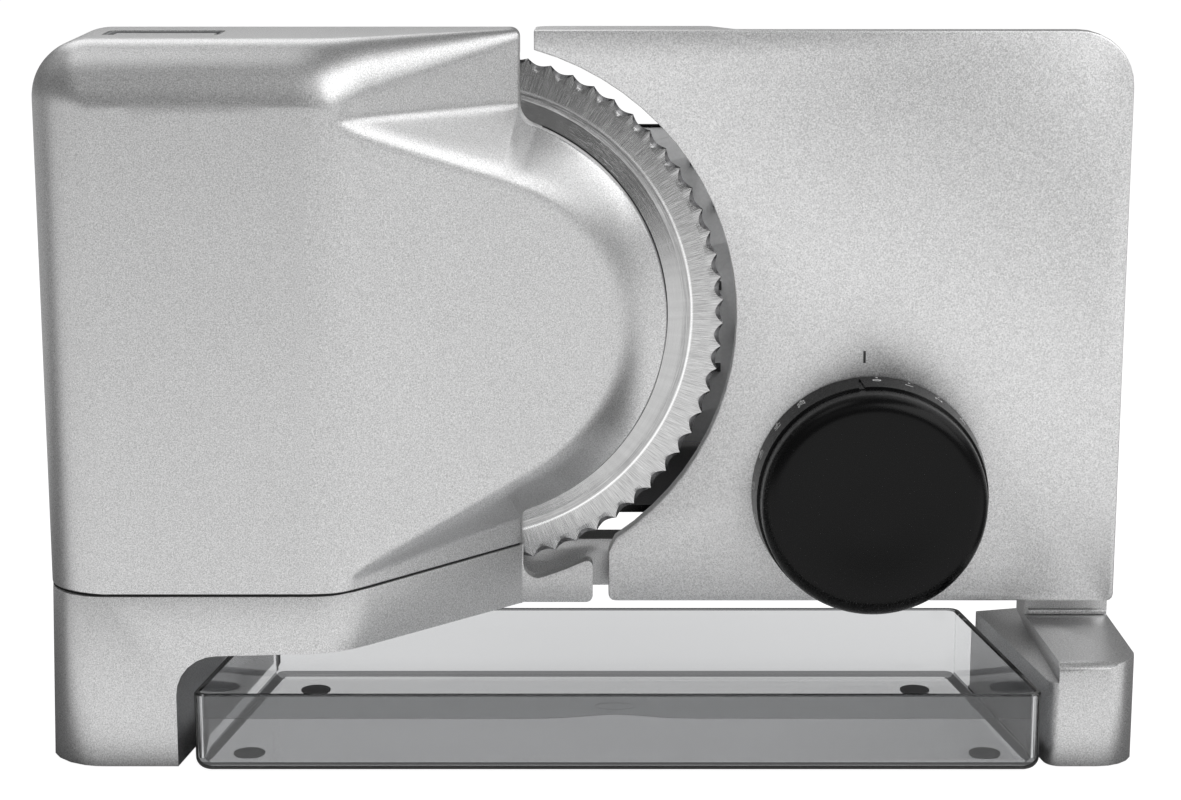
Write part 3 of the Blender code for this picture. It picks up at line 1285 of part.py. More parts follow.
def make_base(frame):
    """The base: hollow leg, ribbed bridge, hooked tongue, the carriage's beam and the right foot."""
    leg = prism(leg_outline(), -FACE_DEPTH - OVERRUN, BASE_BACK, "y")
    bridge = prism(bridge_outline(), -FACE_DEPTH - OVERRUN, -BLADE_SLOT_BACK + SEAT_GAP, "y")
    body = joined(leg, bridge)
    rings = []
    for height, flare in ((0, LEG_FLARE), (SEAM_LEFT_HEIGHT, 0), (HOUSING_TOP, 0)):
        rings.append([(x, y, height) for x, y in plan_outline(BASE_BACK, flare)])
    common(body, lofted(rings))
    # The leg's inner wall tapers in plan like the tray beside it
    deep = FACE_DEPTH + BASE_BACK
    wedge = [
        (LEG_INNER_X, -FACE_DEPTH),
        (LEG_INNER_X + SIDE_TAPER_SHARE * deep, BASE_BACK - SEAT_GAP),
        (LEG_INNER_X - OVERRUN, BASE_BACK - SEAT_GAP),
        (LEG_INNER_X - OVERRUN, -FACE_DEPTH + EDGE_ROUND / 2),
    ]
    joined(body, prism(wedge, BASE_FLOOR, SHELF_UNDERSIDE + OVERRUN, "z"))
    # Behind the leg's arch the top steps down to the bridge's floor, where the blade dips in
    cut(
        body,
        block(
            (-BLADE_POCKET_RADIUS, -BLADE_SLOT_BACK + SEAT_GAP, BRIDGE_FLOOR_TOP),
            (HOUSING_RIGHT + OVERRUN, BEAM_FRONT, HOUSING_TOP),
        ),
    )
    floor = block(
        (LEG_INNER_X + ARCH_ROUND, -CORNER_DEPTH + BASE_WALL, BEAM_BOTTOM),
        (HOUSING_RIGHT, BEAM_BACK - SEAT_GAP, BRIDGE_FLOOR_TOP),
    )
    beam = block((LEG_INNER_X, BEAM_FRONT, BEAM_BOTTOM), (FOOT_BACK_RIGHT, BEAM_BACK, BEAM_TOP))
    tongue = prism(fascia_outline(), -FASCIA_DEPTH, -FASCIA_DEPTH + FASCIA_THICKNESS, "y")
    joined(body, floor, beam, tongue, make_foot())
    # The leg's top behind the housing is level with the beam
    cut(
        body,
        block(
            (-SIDE_LEFT - LEG_FLARE - OVERRUN, SEAT_GAP, BEAM_TOP),
            (HOUSING_RIGHT + OVERRUN, BASE_BACK + OVERRUN, HOUSING_TOP),
        ),
    )
    for hollow in base_hollows():
        cut(body, hollow)
    for x, y in pad_places():
        cut(body, disc(PAD_RADIUS + SEAT_GAP, (x, y, 0), "z", -OVERRUN, BASE_FLOOR + PAD_SEAT_DEPTH, 20))
    for x in (GUIDE_ROD_LEFT_X, GUIDE_ROD_RIGHT_X):
        bore = GUIDE_ROD_RADIUS + RUNNING_GAP / 2
        cut(body, disc(bore, (x, 0, GUIDE_ROD_HEIGHT), "y", 0, BEAM_BACK + OVERRUN, 20))
    gland = disc(
        GLAND_RADIUS - GLAND_STEP + SEAT_GAP,
        (GLAND_X, 0, GLAND_HEIGHT),
        "y",
        BASE_BACK - 2 * BASE_WALL,
        BASE_BACK + OVERRUN,
        20,
    )
    cut(body, gland)
    hang(body, "base", "silver_paint", frame)


def base_hollows():
    """The pockets that open downwards in the leg, the bridge and the foot."""
    wall = BASE_WALL
    left, front = -SIDE_LEFT + wall, -FACE_DEPTH + EDGE_ROUND / 2
    top = SEAM_LEFT_HEIGHT - 2 * wall
    pads = PAD_RADIUS + wall
    leg = block(
        (left, -PAD_FRONT + pads, -OVERRUN), (LEG_INNER_X - wall, PAD_BACK - pads, top)
    )
    hollows = [leg]
    start, end = LEG_INNER_X + ARCH_ROUND + wall, APEX_X
    cell = (end - start + RIB_THICKNESS) / SHELF_RIBS
    for number in range(SHELF_RIBS):
        x = start + cell * number
        hollows.append(
            block(
                (x, front, SHELF_UNDERSIDE - OVERRUN),
                (x + cell - RIB_THICKNESS, -2 * BLADE_SLOT_BACK - wall, top),
            )
        )
    foot_front, foot_back = -PAD_FRONT + pads, PAD_BACK - pads
    hollows.append(
        block(
            (FOOT_TAIL_X + wall / 2, foot_front, -OVERRUN),
            (FOOT_FRONT_RIGHT - wall, foot_back, FOOT_LEDGE_HEIGHT),
        )
    )
    # The cable's room behind the leg's front pocket, open to the inlet
    hollows.append(
        block(
            (GLAND_X - GLAND_RADIUS / 2, PAD_BACK - pads - wall, -OVERRUN),
            (GLAND_X + GLAND_RADIUS / 2, BASE_BACK - wall, GLAND_HEIGHT + GLAND_RADIUS),
        )
    )
    return hollows


def make_pads(frame):
    """The rubber feet, one object each."""
    for number, (x, y) in enumerate(pad_places(), 1):
        profile = [
            (0, 0),
            (PAD_RADIUS - PAD_SEAT_DEPTH / 2, 0),
            (PAD_RADIUS, PAD_SEAT_DEPTH / 2),
            (PAD_RADIUS, PAD_HEIGHT),
            (0, PAD_HEIGHT),
        ]
        pad = turned(profile, (x, y, 0), "z", 20)
        hang(pad, f"rubber_foot_{number}", "rubber", frame, (x, y, 0))


def make_gland(frame):
    """The cable's inlet: a bored rubber bush in the leg's back wall."""
    start = BASE_BACK - 2 * BASE_WALL + SEAT_GAP
    seat = BASE_BACK + SEAT_GAP
    profile = [
        (GLAND_BORE, start),
        (GLAND_RADIUS - GLAND_STEP, start),
        (GLAND_RADIUS - GLAND_STEP, seat),
        (GLAND_RADIUS, seat),
        (GLAND_RADIUS, seat + GLAND_COLLAR),
        (GLAND_RADIUS - GLAND_STEP, seat + GLAND_COLLAR),
        (GLAND_BORE + GLAND_STEP, start + GLAND_LENGTH),
        (GLAND_BORE, start + GLAND_LENGTH),
    ]
    gland = turned(profile, (GLAND_X, 0, GLAND_HEIGHT), "y", 20)
    hang(gland, "cable_gland", "rubber", frame)


# Stop plate and its knob


def plate_outline(inset):
    """The stop plate's outline in (x, z), pulled in by INSET."""
    arc_radius = PLATE_ARC_RADIUS + inset
    left, right = PLATE_LEFT + inset, PLATE_RIGHT - inset
    top, bottom = PLATE_TOP - inset, PLATE_BOTTOM + inset
    foot_x = PLATE_FOOT_X + inset
    reach = min(math.sqrt(arc_radius**2 - left**2), top - AXIS - 2 * SEAT_GAP)
    upper = math.degrees(math.asin(reach / arc_radius))
    left = arc_radius * math.cos(math.radians(upper))
    lower = -math.degrees(math.acos((foot_x + PLATE_FOOT_ROUND) / arc_radius))
    round_top, round_low = PLATE_ROUND - inset, max(PLATE_FOOT_ROUND - inset, SEAT_GAP)
    points = arc((0, AXIS), arc_radius, lower, upper, 26)
    points += [(left, max(top - PLATE_TIP_DROP, points[-1][1])), (left, top - SEAT_GAP)]
    points += [(left + SEAT_GAP, top)]
    points += arc((right - round_top, top - round_top), round_top, 90, 0, 8)
    points += arc((right - round_low, bottom + round_low), round_low, 0, -90, 3)
    points += arc((foot_x + round_low, bottom + round_low), round_low, -90, -180, 3)
    points += [(foot_x, points[0][1] - PLATE_FOOT_DROP)]
    return points


def guard_outline():
    """The lug behind the plate's top edge, seen from above."""
    left = PLATE_LEFT + SEAT_GAP
    right = left + GUARD_LENGTH
    corners = [
        (left, -PLATE_BACK - PLATE_SKIN / 2),
        (right, -PLATE_BACK - PLATE_SKIN / 2),
        (right, -PLATE_BACK + SEAT_GAP),
        (right - GUARD_END_RUN, GUARD_BACK),
        (left, GUARD_BACK),
    ]
    return rounded_outline(corners, [0, 0, 0, GUARD_ROUND / 3, GUARD_ROUND], 4)


def drum_room():
    """The knob drum's hole through the plate, with the slot for the fixed bar and pin."""
    hole = disc(
        DRUM_RADIUS + RUNNING_GAP,
        (KNOB_X, 0, KNOB_HEIGHT),
        "y",
        -PLATE_FRONT - OVERRUN,
        OVERRUN,
        CIRCLE_SIDES + 8,
    )
    half = CAM_BAR_WIDTH / 2 + CAM_SLOT_GAP
    slot = block(
        (KNOB_X - half, -PLATE_FRONT - OVERRUN, CAM_BAR_BOTTOM - CAM_SLOT_GAP),
        (KNOB_X + half, OVERRUN, KNOB_HEIGHT),
    )
    return joined(hole, slot)


def make_stop_plate(slide):
    """The stop plate: a shallow pressed pan with a guard lug, its steel lining and two guide rods."""
    edge = PLATE_RIM / 4
    steps = ((edge, 0), (edge / 4, edge / 3), (0, edge), (0, PLATE_FRONT - PLATE_BACK))
    plate = lofted(
        [[(x, lift - PLATE_FRONT, z) for x, z in plate_outline(inset)] for inset, lift in steps]
    )
    pan = prism(plate_outline(PLATE_RIM), -PLATE_FRONT + PLATE_SKIN, 0, "y")
    cut(plate, pan)
    top = PLATE_TOP - SEAT_GAP
    joined(plate, prism(guard_outline(), top - GUARD_THICKNESS, top, "z"))
    boss_end = -PLATE_BACK - SEAT_GAP
    inner_skin = -PLATE_FRONT + PLATE_SKIN / 2
    for x in (GUIDE_ROD_LEFT_X, GUIDE_ROD_RIGHT_X):
        joined(plate, disc(GUIDE_BOSS_RADIUS, (x, 0, GUIDE_ROD_HEIGHT), "y", inner_skin, boss_end, 20))
        seat = GUIDE_ROD_RADIUS + SEAT_GAP
        cut(plate, disc(seat, (x, 0, GUIDE_ROD_HEIGHT), "y", -PLATE_FRONT + PLATE_SKIN, 0, 20))
    collar = ring(
        DRUM_RADIUS + PLATE_RIM,
        DRUM_RADIUS - OVERRUN,
        (KNOB_X, 0, KNOB_HEIGHT),
        "y",
        inner_skin,
        boss_end - LINING_THICKNESS,
        CIRCLE_SIDES + 8,
    )
    joined(plate, collar)
    cut(plate, drum_room())
    hang(plate, "stop_plate", "silver_paint", slide)

    inset = PLATE_RIM + SEAT_GAP
    face = prism(plate_outline(inset), -PLATE_BACK - LINING_THICKNESS, -PLATE_BACK, "y")
    low = block((0, -PLATE_FRONT, 0), (PLATE_RIGHT, 0, LINING_BOTTOM))
    hang(cut(face, low), "plate_lining", "machined_steel", slide)

    start = -PLATE_FRONT + PLATE_SKIN + SEAT_GAP
    for side, x in (("left", GUIDE_ROD_LEFT_X), ("right", GUIDE_ROD_RIGHT_X)):
        chamfer = GUIDE_ROD_RADIUS / 4
        end = start + GUIDE_ROD_LENGTH
        profile = [
            (0, start),
            (GUIDE_ROD_RADIUS, start),
            (GUIDE_ROD_RADIUS, end - chamfer),
            (GUIDE_ROD_RADIUS - chamfer, end),
            (0, end),
        ]
        rod = turned(profile, (x, 0, GUIDE_ROD_HEIGHT), "y", 20)
        hang(rod, f"guide_rod_{side}", "machined_steel", slide)


def make_knob(turn):
    """The knob: a cup whose front carries the drum with the helical groove."""
    base, front = -PLATE_FRONT - SEAT_GAP, -KNOB_FRONT
    centre = (KNOB_X, 0, KNOB_HEIGHT)
    step = base - KNOB_COLLAR
    grip = KNOB_BASE_RADIUS - KNOB_STEP - KNOB_TAPER / 2
    inner = KNOB_FACE_RADIUS - KNOB_WALL
    profile = [
        (inner, base),
        (KNOB_BASE_RADIUS, base),
        (grip + KNOB_STEP, step),
        (grip, step),
        (KNOB_FACE_RADIUS, front + KNOB_ROUND),
    ]
    for i in range(1, 4):
        lean = math.pi / 2 * i / 3
        profile.append(
            (
                KNOB_FACE_RADIUS - KNOB_ROUND * (1 - math.cos(lean)),
                front + KNOB_ROUND * (1 - math.sin(lean)),
            )
        )
    profile += [
        (KNOB_FACE_RADIUS / 2, front - KNOB_DOME),
        (0, front - KNOB_DOME),
        (0, front + KNOB_WALL),
        (inner, front + KNOB_WALL),
    ]
    hang(turned(profile, centre, "y", 40), "thickness_knob", "black_plastic", turn)
    hang(make_drum(front + KNOB_WALL + SEAT_GAP), "cam_drum", "gear_plastic", turn)


def make_drum(start):
    """A tube with a helical groove of one thread that ends before a full turn."""
    end = -DRUM_TAIL
    half = GROOVE_WIDTH / 2
    high, low = DRUM_RADIUS, DRUM_RADIUS - GROOVE_DEPTH
    sweep = math.radians(KNOB_TURN_DEGREES)
    margin = GROOVE_WIDTH / DRUM_RADIUS
    whole = sweep + 2 * margin
    columns = []
    for i in range(GROOVE_COLUMNS + 1):
        turned_by = whole * i / GROOVE_COLUMNS - margin
        travelled = min(max(turned_by, 0), sweep) / sweep * PLATE_TRAVEL
        columns.append((turned_by, travelled, low))
    for i in range(1, DRUM_CLOSING_COLUMNS):
        share = i / DRUM_CLOSING_COLUMNS
        turned_by = sweep + margin + (2 * math.pi - whole) * share
        columns.append((turned_by, PLATE_TRAVEL * (1 - share), high))
    points, rows = [], []
    for turned_by, travelled, floor in columns:
        # The pin stands under the axis, so the drum turned this far has this side over it
        turn = -math.pi / 2 - turned_by
        middle = start + GROOVE_START + travelled
        first, last = middle - half, middle + half
        bore = [(DRUM_BORE, end), (DRUM_BORE, start)]
        section = [(high, start), (high, first), (high, last), (high, end)] + bore
        if floor == low:
            section += [(low, first), (low, last)]
        rows.append(range(len(points), len(points) + len(section)))
        for radius, y in section:
            points.append((KNOB_X + radius * math.cos(turn), y, KNOB_HEIGHT + radius * math.sin(turn)))
    plain = ((0, 1), (2, 3), (3, 4), (4, 5), (5, 0))
    groove = ((1, 6), (6, 7), (7, 2))
    faces = []
    for c, row in enumerate(rows):
        after = rows[(c + 1) % len(rows)]
        for a, b in plain + (groove if c < GROOVE_COLUMNS else ((1, 2),)):
            faces.append((row[a], after[a], after[b], row[b]))
    for c in (0, GROOVE_COLUMNS):
        faces.append((rows[c][1], rows[c][6], rows[c][7], rows[c][2]))
    return raw(points, faces)


def make_cam_bar(frame):
    """The fixed bar that reaches through the plate into the knob, and the pin on its end."""
    half = CAM_BAR_WIDTH / 2
    groove = -KNOB_FRONT + KNOB_WALL + SEAT_GAP + GROOVE_START
    tip = -KNOB_FRONT + KNOB_WALL + RUNNING_GAP
    back = BEAM_FRONT - SEAT_GAP
    bar = block((KNOB_X - half, tip, CAM_BAR_BOTTOM), (KNOB_X + half, back, CAM_BAR_TOP))
    foot = block(
        (KNOB_X - 2 * half, back - BASE_WALL, BEAM_BOTTOM + BASE_WALL / 2),
        (KNOB_X + 2 * half, back, CAM_BAR_TOP - SEAT_GAP),
    )
    joined(bar, foot)
    pin_seat = CAM_PIN_RADIUS + SEAT_GAP
    seat_depth = (CAM_BAR_TOP - CAM_BAR_BOTTOM) / 2
    cut(bar, disc(pin_seat, (KNOB_X, groove, 0), "z", CAM_BAR_TOP - seat_depth, CAM_BAR_TOP + OVERRUN, 16))
    hang(bar, "cam_bar", "machined_steel", frame)
    low = CAM_BAR_TOP - seat_depth + SEAT_GAP
    high = KNOB_HEIGHT - DRUM_RADIUS + GROOVE_DEPTH - RUNNING_GAP
    pin = disc(CAM_PIN_RADIUS, (KNOB_X, groove, 0), "z", low, high, 16)
    hang(pin, "cam_pin", "machined_steel", frame)


# Tray, carriage and food holder


def tray_ring(inset, height):
    """The tray's rounded and tapered outline at one height, pulled in by INSET."""
    depth = TRAY_FRONT + TRAY_BACK
    pinch = SIDE_TAPER_SHARE * depth
    corners = [
        (TRAY_FRONT_LEFT + inset, -TRAY_FRONT + inset),
        (TRAY_FRONT_RIGHT - inset, -TRAY_FRONT + inset),
        (TRAY_FRONT_RIGHT - pinch - inset, TRAY_BACK - inset),
        (TRAY_FRONT_LEFT + pinch + inset, TRAY_BACK - inset),
    ]
    radius = max(TRAY_CORNER - inset / 2, TRAY_WALL / 2)
    return [(x, y, height) for x, y in rounded_outline(corners, [radius] * 4, 4)]


def make_tray(slide):
    """The clear tray: a lofted shell with a rounded foot, standing on four small pads."""
    floor, rim, wall, bend = TRAY_FLOOR_HEIGHT, TRAY_RIM_HEIGHT, TRAY_WALL, TRAY_FOOT_ROUND
    levels = []
    for thickness, direction in ((0, 1), (wall, -1)):
        radius = bend - thickness
        side = [(thickness, rim)]
        for step in range(TRAY_ROUND_STEPS + 1):
            lean = math.pi / 2 * step / TRAY_ROUND_STEPS
            side.append((bend - radius * math.cos(lean), floor + bend - radius * math.sin(lean)))
        levels += side[::-1] if direction > 0 else side
    tray = lofted([tray_ring(inset, height) for inset, height in levels])
    inset = TRAY_PAD_INSET
    pinch = SIDE_TAPER_SHARE * (TRAY_FRONT + TRAY_BACK)
    for x, y in (
        (TRAY_FRONT_LEFT + inset, -TRAY_FRONT + inset),
        (TRAY_FRONT_RIGHT - inset, -TRAY_FRONT + inset),
        (TRAY_FRONT_RIGHT - pinch - inset, TRAY_BACK - inset),
        (TRAY_FRONT_LEFT + pinch + inset, TRAY_BACK - inset),
    ):
        joined(tray, disc(TRAY_PAD_RADIUS, (x, y, 0), "z", 0, floor + wall / 2, 16))
    hang(tray, "collecting_tray", "smoke_clear", slide)


def make_carriage(slide):
    """The carriage: a thin floor on a shoe that hooks over the beam, and the wall that pushes the food."""
    low, top = CARRIAGE_BOTTOM, CARRIAGE_TOP
    corners = [
        (CARRIAGE_LEFT, CARRIAGE_FRONT),
        (CARRIAGE_RIGHT, CARRIAGE_FRONT),
        (CARRIAGE_RIGHT, CARRIAGE_BACK),
        (CARRIAGE_LEFT, CARRIAGE_BACK),
    ]
    radius = WALL_THICKNESS
    floor = prism(rounded_outline(corners, [radius] * 4, 3), low, top, "z")
    gap, flange = RUNNING_GAP, SHOE_FLANGE
    shoe = block(
        (SHOE_LEFT, BEAM_FRONT - gap - flange, BEAM_TOP - SHOE_HOOK_DEPTH),
        (SHOE_RIGHT, BEAM_BACK + gap + flange, low + SEAT_GAP),
    )
    channel = block(
        (SHOE_LEFT - OVERRUN, BEAM_FRONT - gap, 0),
        (SHOE_RIGHT + OVERRUN, BEAM_BACK + gap, BEAM_TOP + gap / 2),
    )
    joined(floor, cut(shoe, channel))
    right = CARRIAGE_RIGHT - WALL_THICKNESS / 2
    groove = block(
        (right - WALL_THICKNESS - SEAT_GAP, WALL_FRONT - SEAT_GAP, top - WALL_GROOVE),
        (right + SEAT_GAP, CARRIAGE_BACK - WALL_THICKNESS + SEAT_GAP, top + OVERRUN),
    )
    hang(cut(floor, groove), "carriage_floor", "black_plastic", slide)

    base = top - WALL_GROOVE + SEAT_GAP
    profile = [
        (WALL_FRONT, base),
        (CARRIAGE_BACK - WALL_THICKNESS, base),
        (CARRIAGE_BACK - WALL_THICKNESS, top + WALL_HEIGHT),
        (WALL_FRONT, top + WALL_HEIGHT),
    ]
    outline = rounded_outline(profile, [0, 0, WALL_ROUND / 2, WALL_ROUND], 5)
    hang(prism(outline, right - WALL_THICKNESS, right, "x"), "pusher_wall", "silver_paint", slide)


def spike_bed(low, high, places):
    """A flat panel whose front face carries small pyramids, at PLACES in (x, z)."""
    work = bmesh.new()
    xs = sorted({low[0], high[0]} | {x + side * SPIKE_WIDTH / 2 for x, _ in places for side in (-1, 1)})
    zs = sorted({low[2], high[2]} | {z + side * SPIKE_WIDTH / 2 for _, z in places for side in (-1, 1)})
    grid = [[work.verts.new((x, low[1], z)) for x in xs] for z in zs]
    back = [[work.verts.new((x, high[1], z)) for x in (xs[0], xs[-1])] for z in (zs[0], zs[-1])]
    wanted = {(round(x / SEAT_GAP), round(z / SEAT_GAP)) for x, z in places}
    for row in range(len(zs) - 1):
        for col in range(len(xs) - 1):
            corners = (grid[row][col], grid[row][col + 1], grid[row + 1][col + 1], grid[row + 1][col])
            x, z = (xs[col] + xs[col + 1]) / 2, (zs[row] + zs[row + 1]) / 2
            if (round(x / SEAT_GAP), round(z / SEAT_GAP)) in wanted:
                tip = work.verts.new((x, low[1] - SPIKE_LENGTH, z))
                for i in range(4):
                    work.faces.new((corners[i], corners[(i + 1) % 4], tip))
            else:
                work.faces.new(corners)
    work.faces.new((back[0][0], back[0][1], back[1][1], back[1][0]))
    work.faces.new([*grid[0], back[0][1], back[0][0]])
    work.faces.new([*grid[-1], back[1][1], back[1][0]])
    work.faces.new([*(row[0] for row in grid), back[1][0], back[0][0]])
    work.faces.new([*(row[-1] for row in grid), back[1][1], back[0][1]])
    bmesh.ops.recalc_face_normals(work, faces=work.faces)
    mesh = bpy.data.meshes.new("panel")
    work.to_mesh(mesh)
    work.free()
    panel = bpy.data.objects.new("panel", mesh)
    bpy.context.collection.objects.link(panel)
    return panel


def make_holder(slide):
    """The food holder: a spiked panel with a grip behind it and an arm that straddles the wall."""
    bottom = CARRIAGE_TOP + HOLDER_LIFT
    middle_x, middle_z = (HOLDER_LEFT + HOLDER_RIGHT) / 2, (bottom + HOLDER_TOP) / 2
    places = []
    for row in range(SPIKE_ROWS):
        shift = (row % 2 * 2 - 1) * SPIKE_SPACING_X / 4
        for column in range(SPIKE_COLUMNS):
            x = middle_x + (column - (SPIKE_COLUMNS - 1) / 2) * SPIKE_SPACING_X + shift
            z = middle_z + (row - (SPIKE_ROWS - 1) / 2) * SPIKE_SPACING_Z
            places.append((x, z))
    back = HOLDER_FACE + HOLDER_THICKNESS
    panel = spike_bed((HOLDER_LEFT, HOLDER_FACE, bottom), (HOLDER_RIGHT, back, HOLDER_TOP), places)
    right = CARRIAGE_RIGHT - WALL_THICKNESS / 2
    wall_top = CARRIAGE_TOP + WALL_HEIGHT
    gap, wall = RUNNING_GAP, HOLDER_ARM_WALL
    saddle = block(
        (right - WALL_THICKNESS - gap - wall, back - HOLDER_ARM_LENGTH, wall_top - HOLDER_ARM_HEIGHT),
        (right + gap + wall, back, wall_top + gap + wall),
    )
    notch = block(
        (right - WALL_THICKNESS - gap, 0, 0), (right + gap, back + OVERRUN, wall_top + gap / 2)
    )
    cut(saddle, notch)
    bar = block(
        (HOLDER_RIGHT - OVERRUN, HOLDER_FACE, wall_top - HOLDER_ARM_HEIGHT),
        (right - WALL_THICKNESS - gap - SEAT_GAP, back, wall_top + gap + wall),
    )
    joined(panel, joined(saddle, bar))
    hang(panel, "food_holder", "holder_plastic", slide)
    low, high = middle_z - GRIP_HEIGHT / 2, middle_z + GRIP_HEIGHT / 2
    corners = [
        (middle_x - GRIP_WIDTH / 2, low),
        (middle_x + GRIP_WIDTH / 2, low),
        (middle_x + GRIP_WIDTH / 2, high),
        (middle_x - GRIP_WIDTH / 2, high),
    ]
    outline = rounded_outline(corners, [GRIP_ROUND] * 4, 4)
    grip = prism(outline, back + SEAT_GAP, back + GRIP_DEPTH, "y")
    hang(rounded(grip, GRIP_ROUND / 2, 2, math.radians(60)), "holder_grip", "black_plastic", slide)


def main():
    clear_scene()
    frame = carrier("slicer_frame", (0, 0, 0))
    make_housing(frame)
    make_switch(frame)
    make_back_cover(frame)
    make_screws(frame)
    make_blade_bush(frame)
    make_base(frame)
    make_pads(frame)
    make_gland(frame)
    make_cam_bar(frame)

    blade_spin = carrier("blade_spin", (0, 0, AXIS), frame)
    make_drive_gear(blade_spin)
    make_blade_shaft(blade_spin)
    make_blade(blade_spin)
    make_blade_lock(blade_spin)

    motor_spin = carrier("motor_spin", (0, -MOTOR_DEPTH, MOTOR_HEIGHT), frame)
    make_motor(frame, motor_spin)

    plate_slide = carrier("plate_slide", (KNOB_X, -PLATE_FRONT, GUIDE_ROD_HEIGHT), frame)
    make_stop_plate(plate_slide)
    knob_turn = carrier("knob_turn", (KNOB_X, -PLATE_FRONT, KNOB_HEIGHT), plate_slide)
    make_knob(knob_turn)

    tray_slide = carrier("tray_slide", (0, -TRAY_FRONT, TRAY_FLOOR_HEIGHT), frame)
    make_tray(tray_slide)
    carriage_slide = carrier("carriage_slide", (0, BEAM_FRONT, BEAM_TOP), frame)
    make_carriage(carriage_slide)
    holder_slide = carrier("holder_slide", (HOLDER_RIGHT, HOLDER_FACE, CARRIAGE_TOP), carriage_slide)
    make_holder(holder_slide)

    frame.location = (-FRAME_X, -FRAME_Y, 0)


main()
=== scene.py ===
"""The looks of a compact electric food slicer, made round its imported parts.

Sizes are in metres. Like the parts, each piece is drawn in the slicer's own frame: x = 0 and y = 0 on
the blade's axis and cutting plane, z = 0 on the table, +X to the viewer's right. ORIGIN moves it
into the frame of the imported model.
"""

import math

import bmesh
import bpy
from mathutils import Matrix, Vector


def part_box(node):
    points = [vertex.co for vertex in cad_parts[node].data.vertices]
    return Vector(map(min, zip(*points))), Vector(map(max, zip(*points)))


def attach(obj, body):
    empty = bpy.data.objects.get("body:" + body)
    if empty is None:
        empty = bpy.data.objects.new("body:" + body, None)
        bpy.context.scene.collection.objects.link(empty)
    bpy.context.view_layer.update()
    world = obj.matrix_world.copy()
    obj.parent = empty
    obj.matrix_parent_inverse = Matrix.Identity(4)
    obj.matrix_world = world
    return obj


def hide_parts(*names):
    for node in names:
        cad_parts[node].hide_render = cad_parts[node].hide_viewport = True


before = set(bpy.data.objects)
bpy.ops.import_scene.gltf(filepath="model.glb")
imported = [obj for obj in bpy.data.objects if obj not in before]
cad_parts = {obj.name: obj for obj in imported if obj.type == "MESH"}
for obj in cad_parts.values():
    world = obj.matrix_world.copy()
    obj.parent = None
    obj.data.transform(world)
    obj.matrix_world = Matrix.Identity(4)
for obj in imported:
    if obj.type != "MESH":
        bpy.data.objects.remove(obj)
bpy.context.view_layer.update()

BLADE_BACK = 0.0006


def whole_span(node):
    """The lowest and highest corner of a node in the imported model's frame."""
    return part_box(node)


blade_low, blade_high = whole_span("blade")
ORIGIN = Vector(((blade_low.x + blade_high.x) / 2, blade_high.y - BLADE_BACK, 0))


def span(node):
    """The lowest and highest corner of a node in the slicer's own frame."""
    low, high = whole_span(node)
    return low - ORIGIN, high - ORIGIN


# Sizes read from the parts
HOUSING_LOW, HOUSING_HIGH = span("motor_housing")
KNOB_LOW, KNOB_HIGH = span("thickness_knob")
TRAY_LOW, TRAY_HIGH = span("collecting_tray")
BLADE_LOW, BLADE_HIGH = span("blade")
SLOT_LOW, SLOT_HIGH = span("switch_bezel")
HOLDER_LOW, HOLDER_HIGH = span("food_holder")
PLATE_FRONT = span("stop_plate")[0].y
BASE_RIGHT = span("base")[1].x
AXIS = (BLADE_LOW.z + BLADE_HIGH.z) / 2
BLADE_RADIUS = BLADE_HIGH.x
SIDE_LEFT = -HOUSING_LOW.x
HOUSING_TOP = HOUSING_HIGH.z
FACE_DEPTH = -HOUSING_LOW.y
NOSE_RADIUS = HOUSING_HIGH.x
SEAM_LEFT_HEIGHT = HOUSING_LOW.z

# Forms of the housing, as its part has them
HOUSING_RIGHT = 0.0198
SEAM_RIGHT_HEIGHT = 0.0593
EDGE_ROUND = 0.019
EDGE_BREAK = 0.15
CORNER_ROUND = 0.018
CREASE_X = -0.038
CREASE_BLEND = 0.009
NOSE_EDGE_DEPTH = 0.012
CORNER_DEPTH = 0.0105
TIP_ROUND = 0.003
NOSE_TOP_FILLET = 0.007
NOSE_LOW_FILLET = 0.0025
RIDGE_RADIUS = 0.053
RIDGE_BLEND = 0.0035
FOLD_BLEND = 0.0012
APEX_X = -0.036
APEX_RISE = 0.0696
APEX_DROP = 0.0744
APEX_FADE = math.radians(5)
LIP_ROUND = 0.0007
HOUSING_WALL = 0.0026
SEAM_GAP = 0.0005
BLADE_POCKET_RADIUS = 0.0872
BLADE_POCKET_DEPTH = 0.0030
BLADE_POCKET_SIDES = 144
HOLLOW_DEPTH = 0.0088
FACE_SLOPE = (FACE_DEPTH - NOSE_EDGE_DEPTH) / (NOSE_RADIUS - CREASE_X)
SEAM_SLOPE = (SEAM_RIGHT_HEIGHT - SEAM_LEFT_HEIGHT) / (HOUSING_RIGHT - CREASE_X)

# The blade's zones, which its shape and its finish share
BEVEL_RADIUS = 0.0746
STEP_WIDTH = 0.0020

# How far cutters run past what they cut and joined pieces into each other, and which edges stay sharp
CUT_PAST = 0.002
OVERLAP = 0.001
SHARP_ANGLE = math.radians(35)

# The photograph's camera
LENS = 83.48
SENSOR = 36
CAMERA_PLACE = Vector((0.04225, -0.87888, 0.2979))
CAMERA_TILT = math.radians(90 - 12.3576)


# Shapes


def new_object(data, name):
    """A scene object that holds DATA: a mesh, a text, a lamp or a camera."""
    obj = bpy.data.objects.new(name, data)
    bpy.context.scene.collection.objects.link(obj)
    return obj


def raw(points, faces):
    """A closed mesh from points in the slicer's frame."""
    mesh = bpy.data.meshes.new("raw")
    work = bmesh.new()
    corners = [work.verts.new(point) for point in points]
    for face in faces:
        work.faces.new([corners[i] for i in face])
    bmesh.ops.recalc_face_normals(work, faces=work.faces)
    work.to_mesh(mesh)
    work.free()
    return new_object(mesh, "raw")


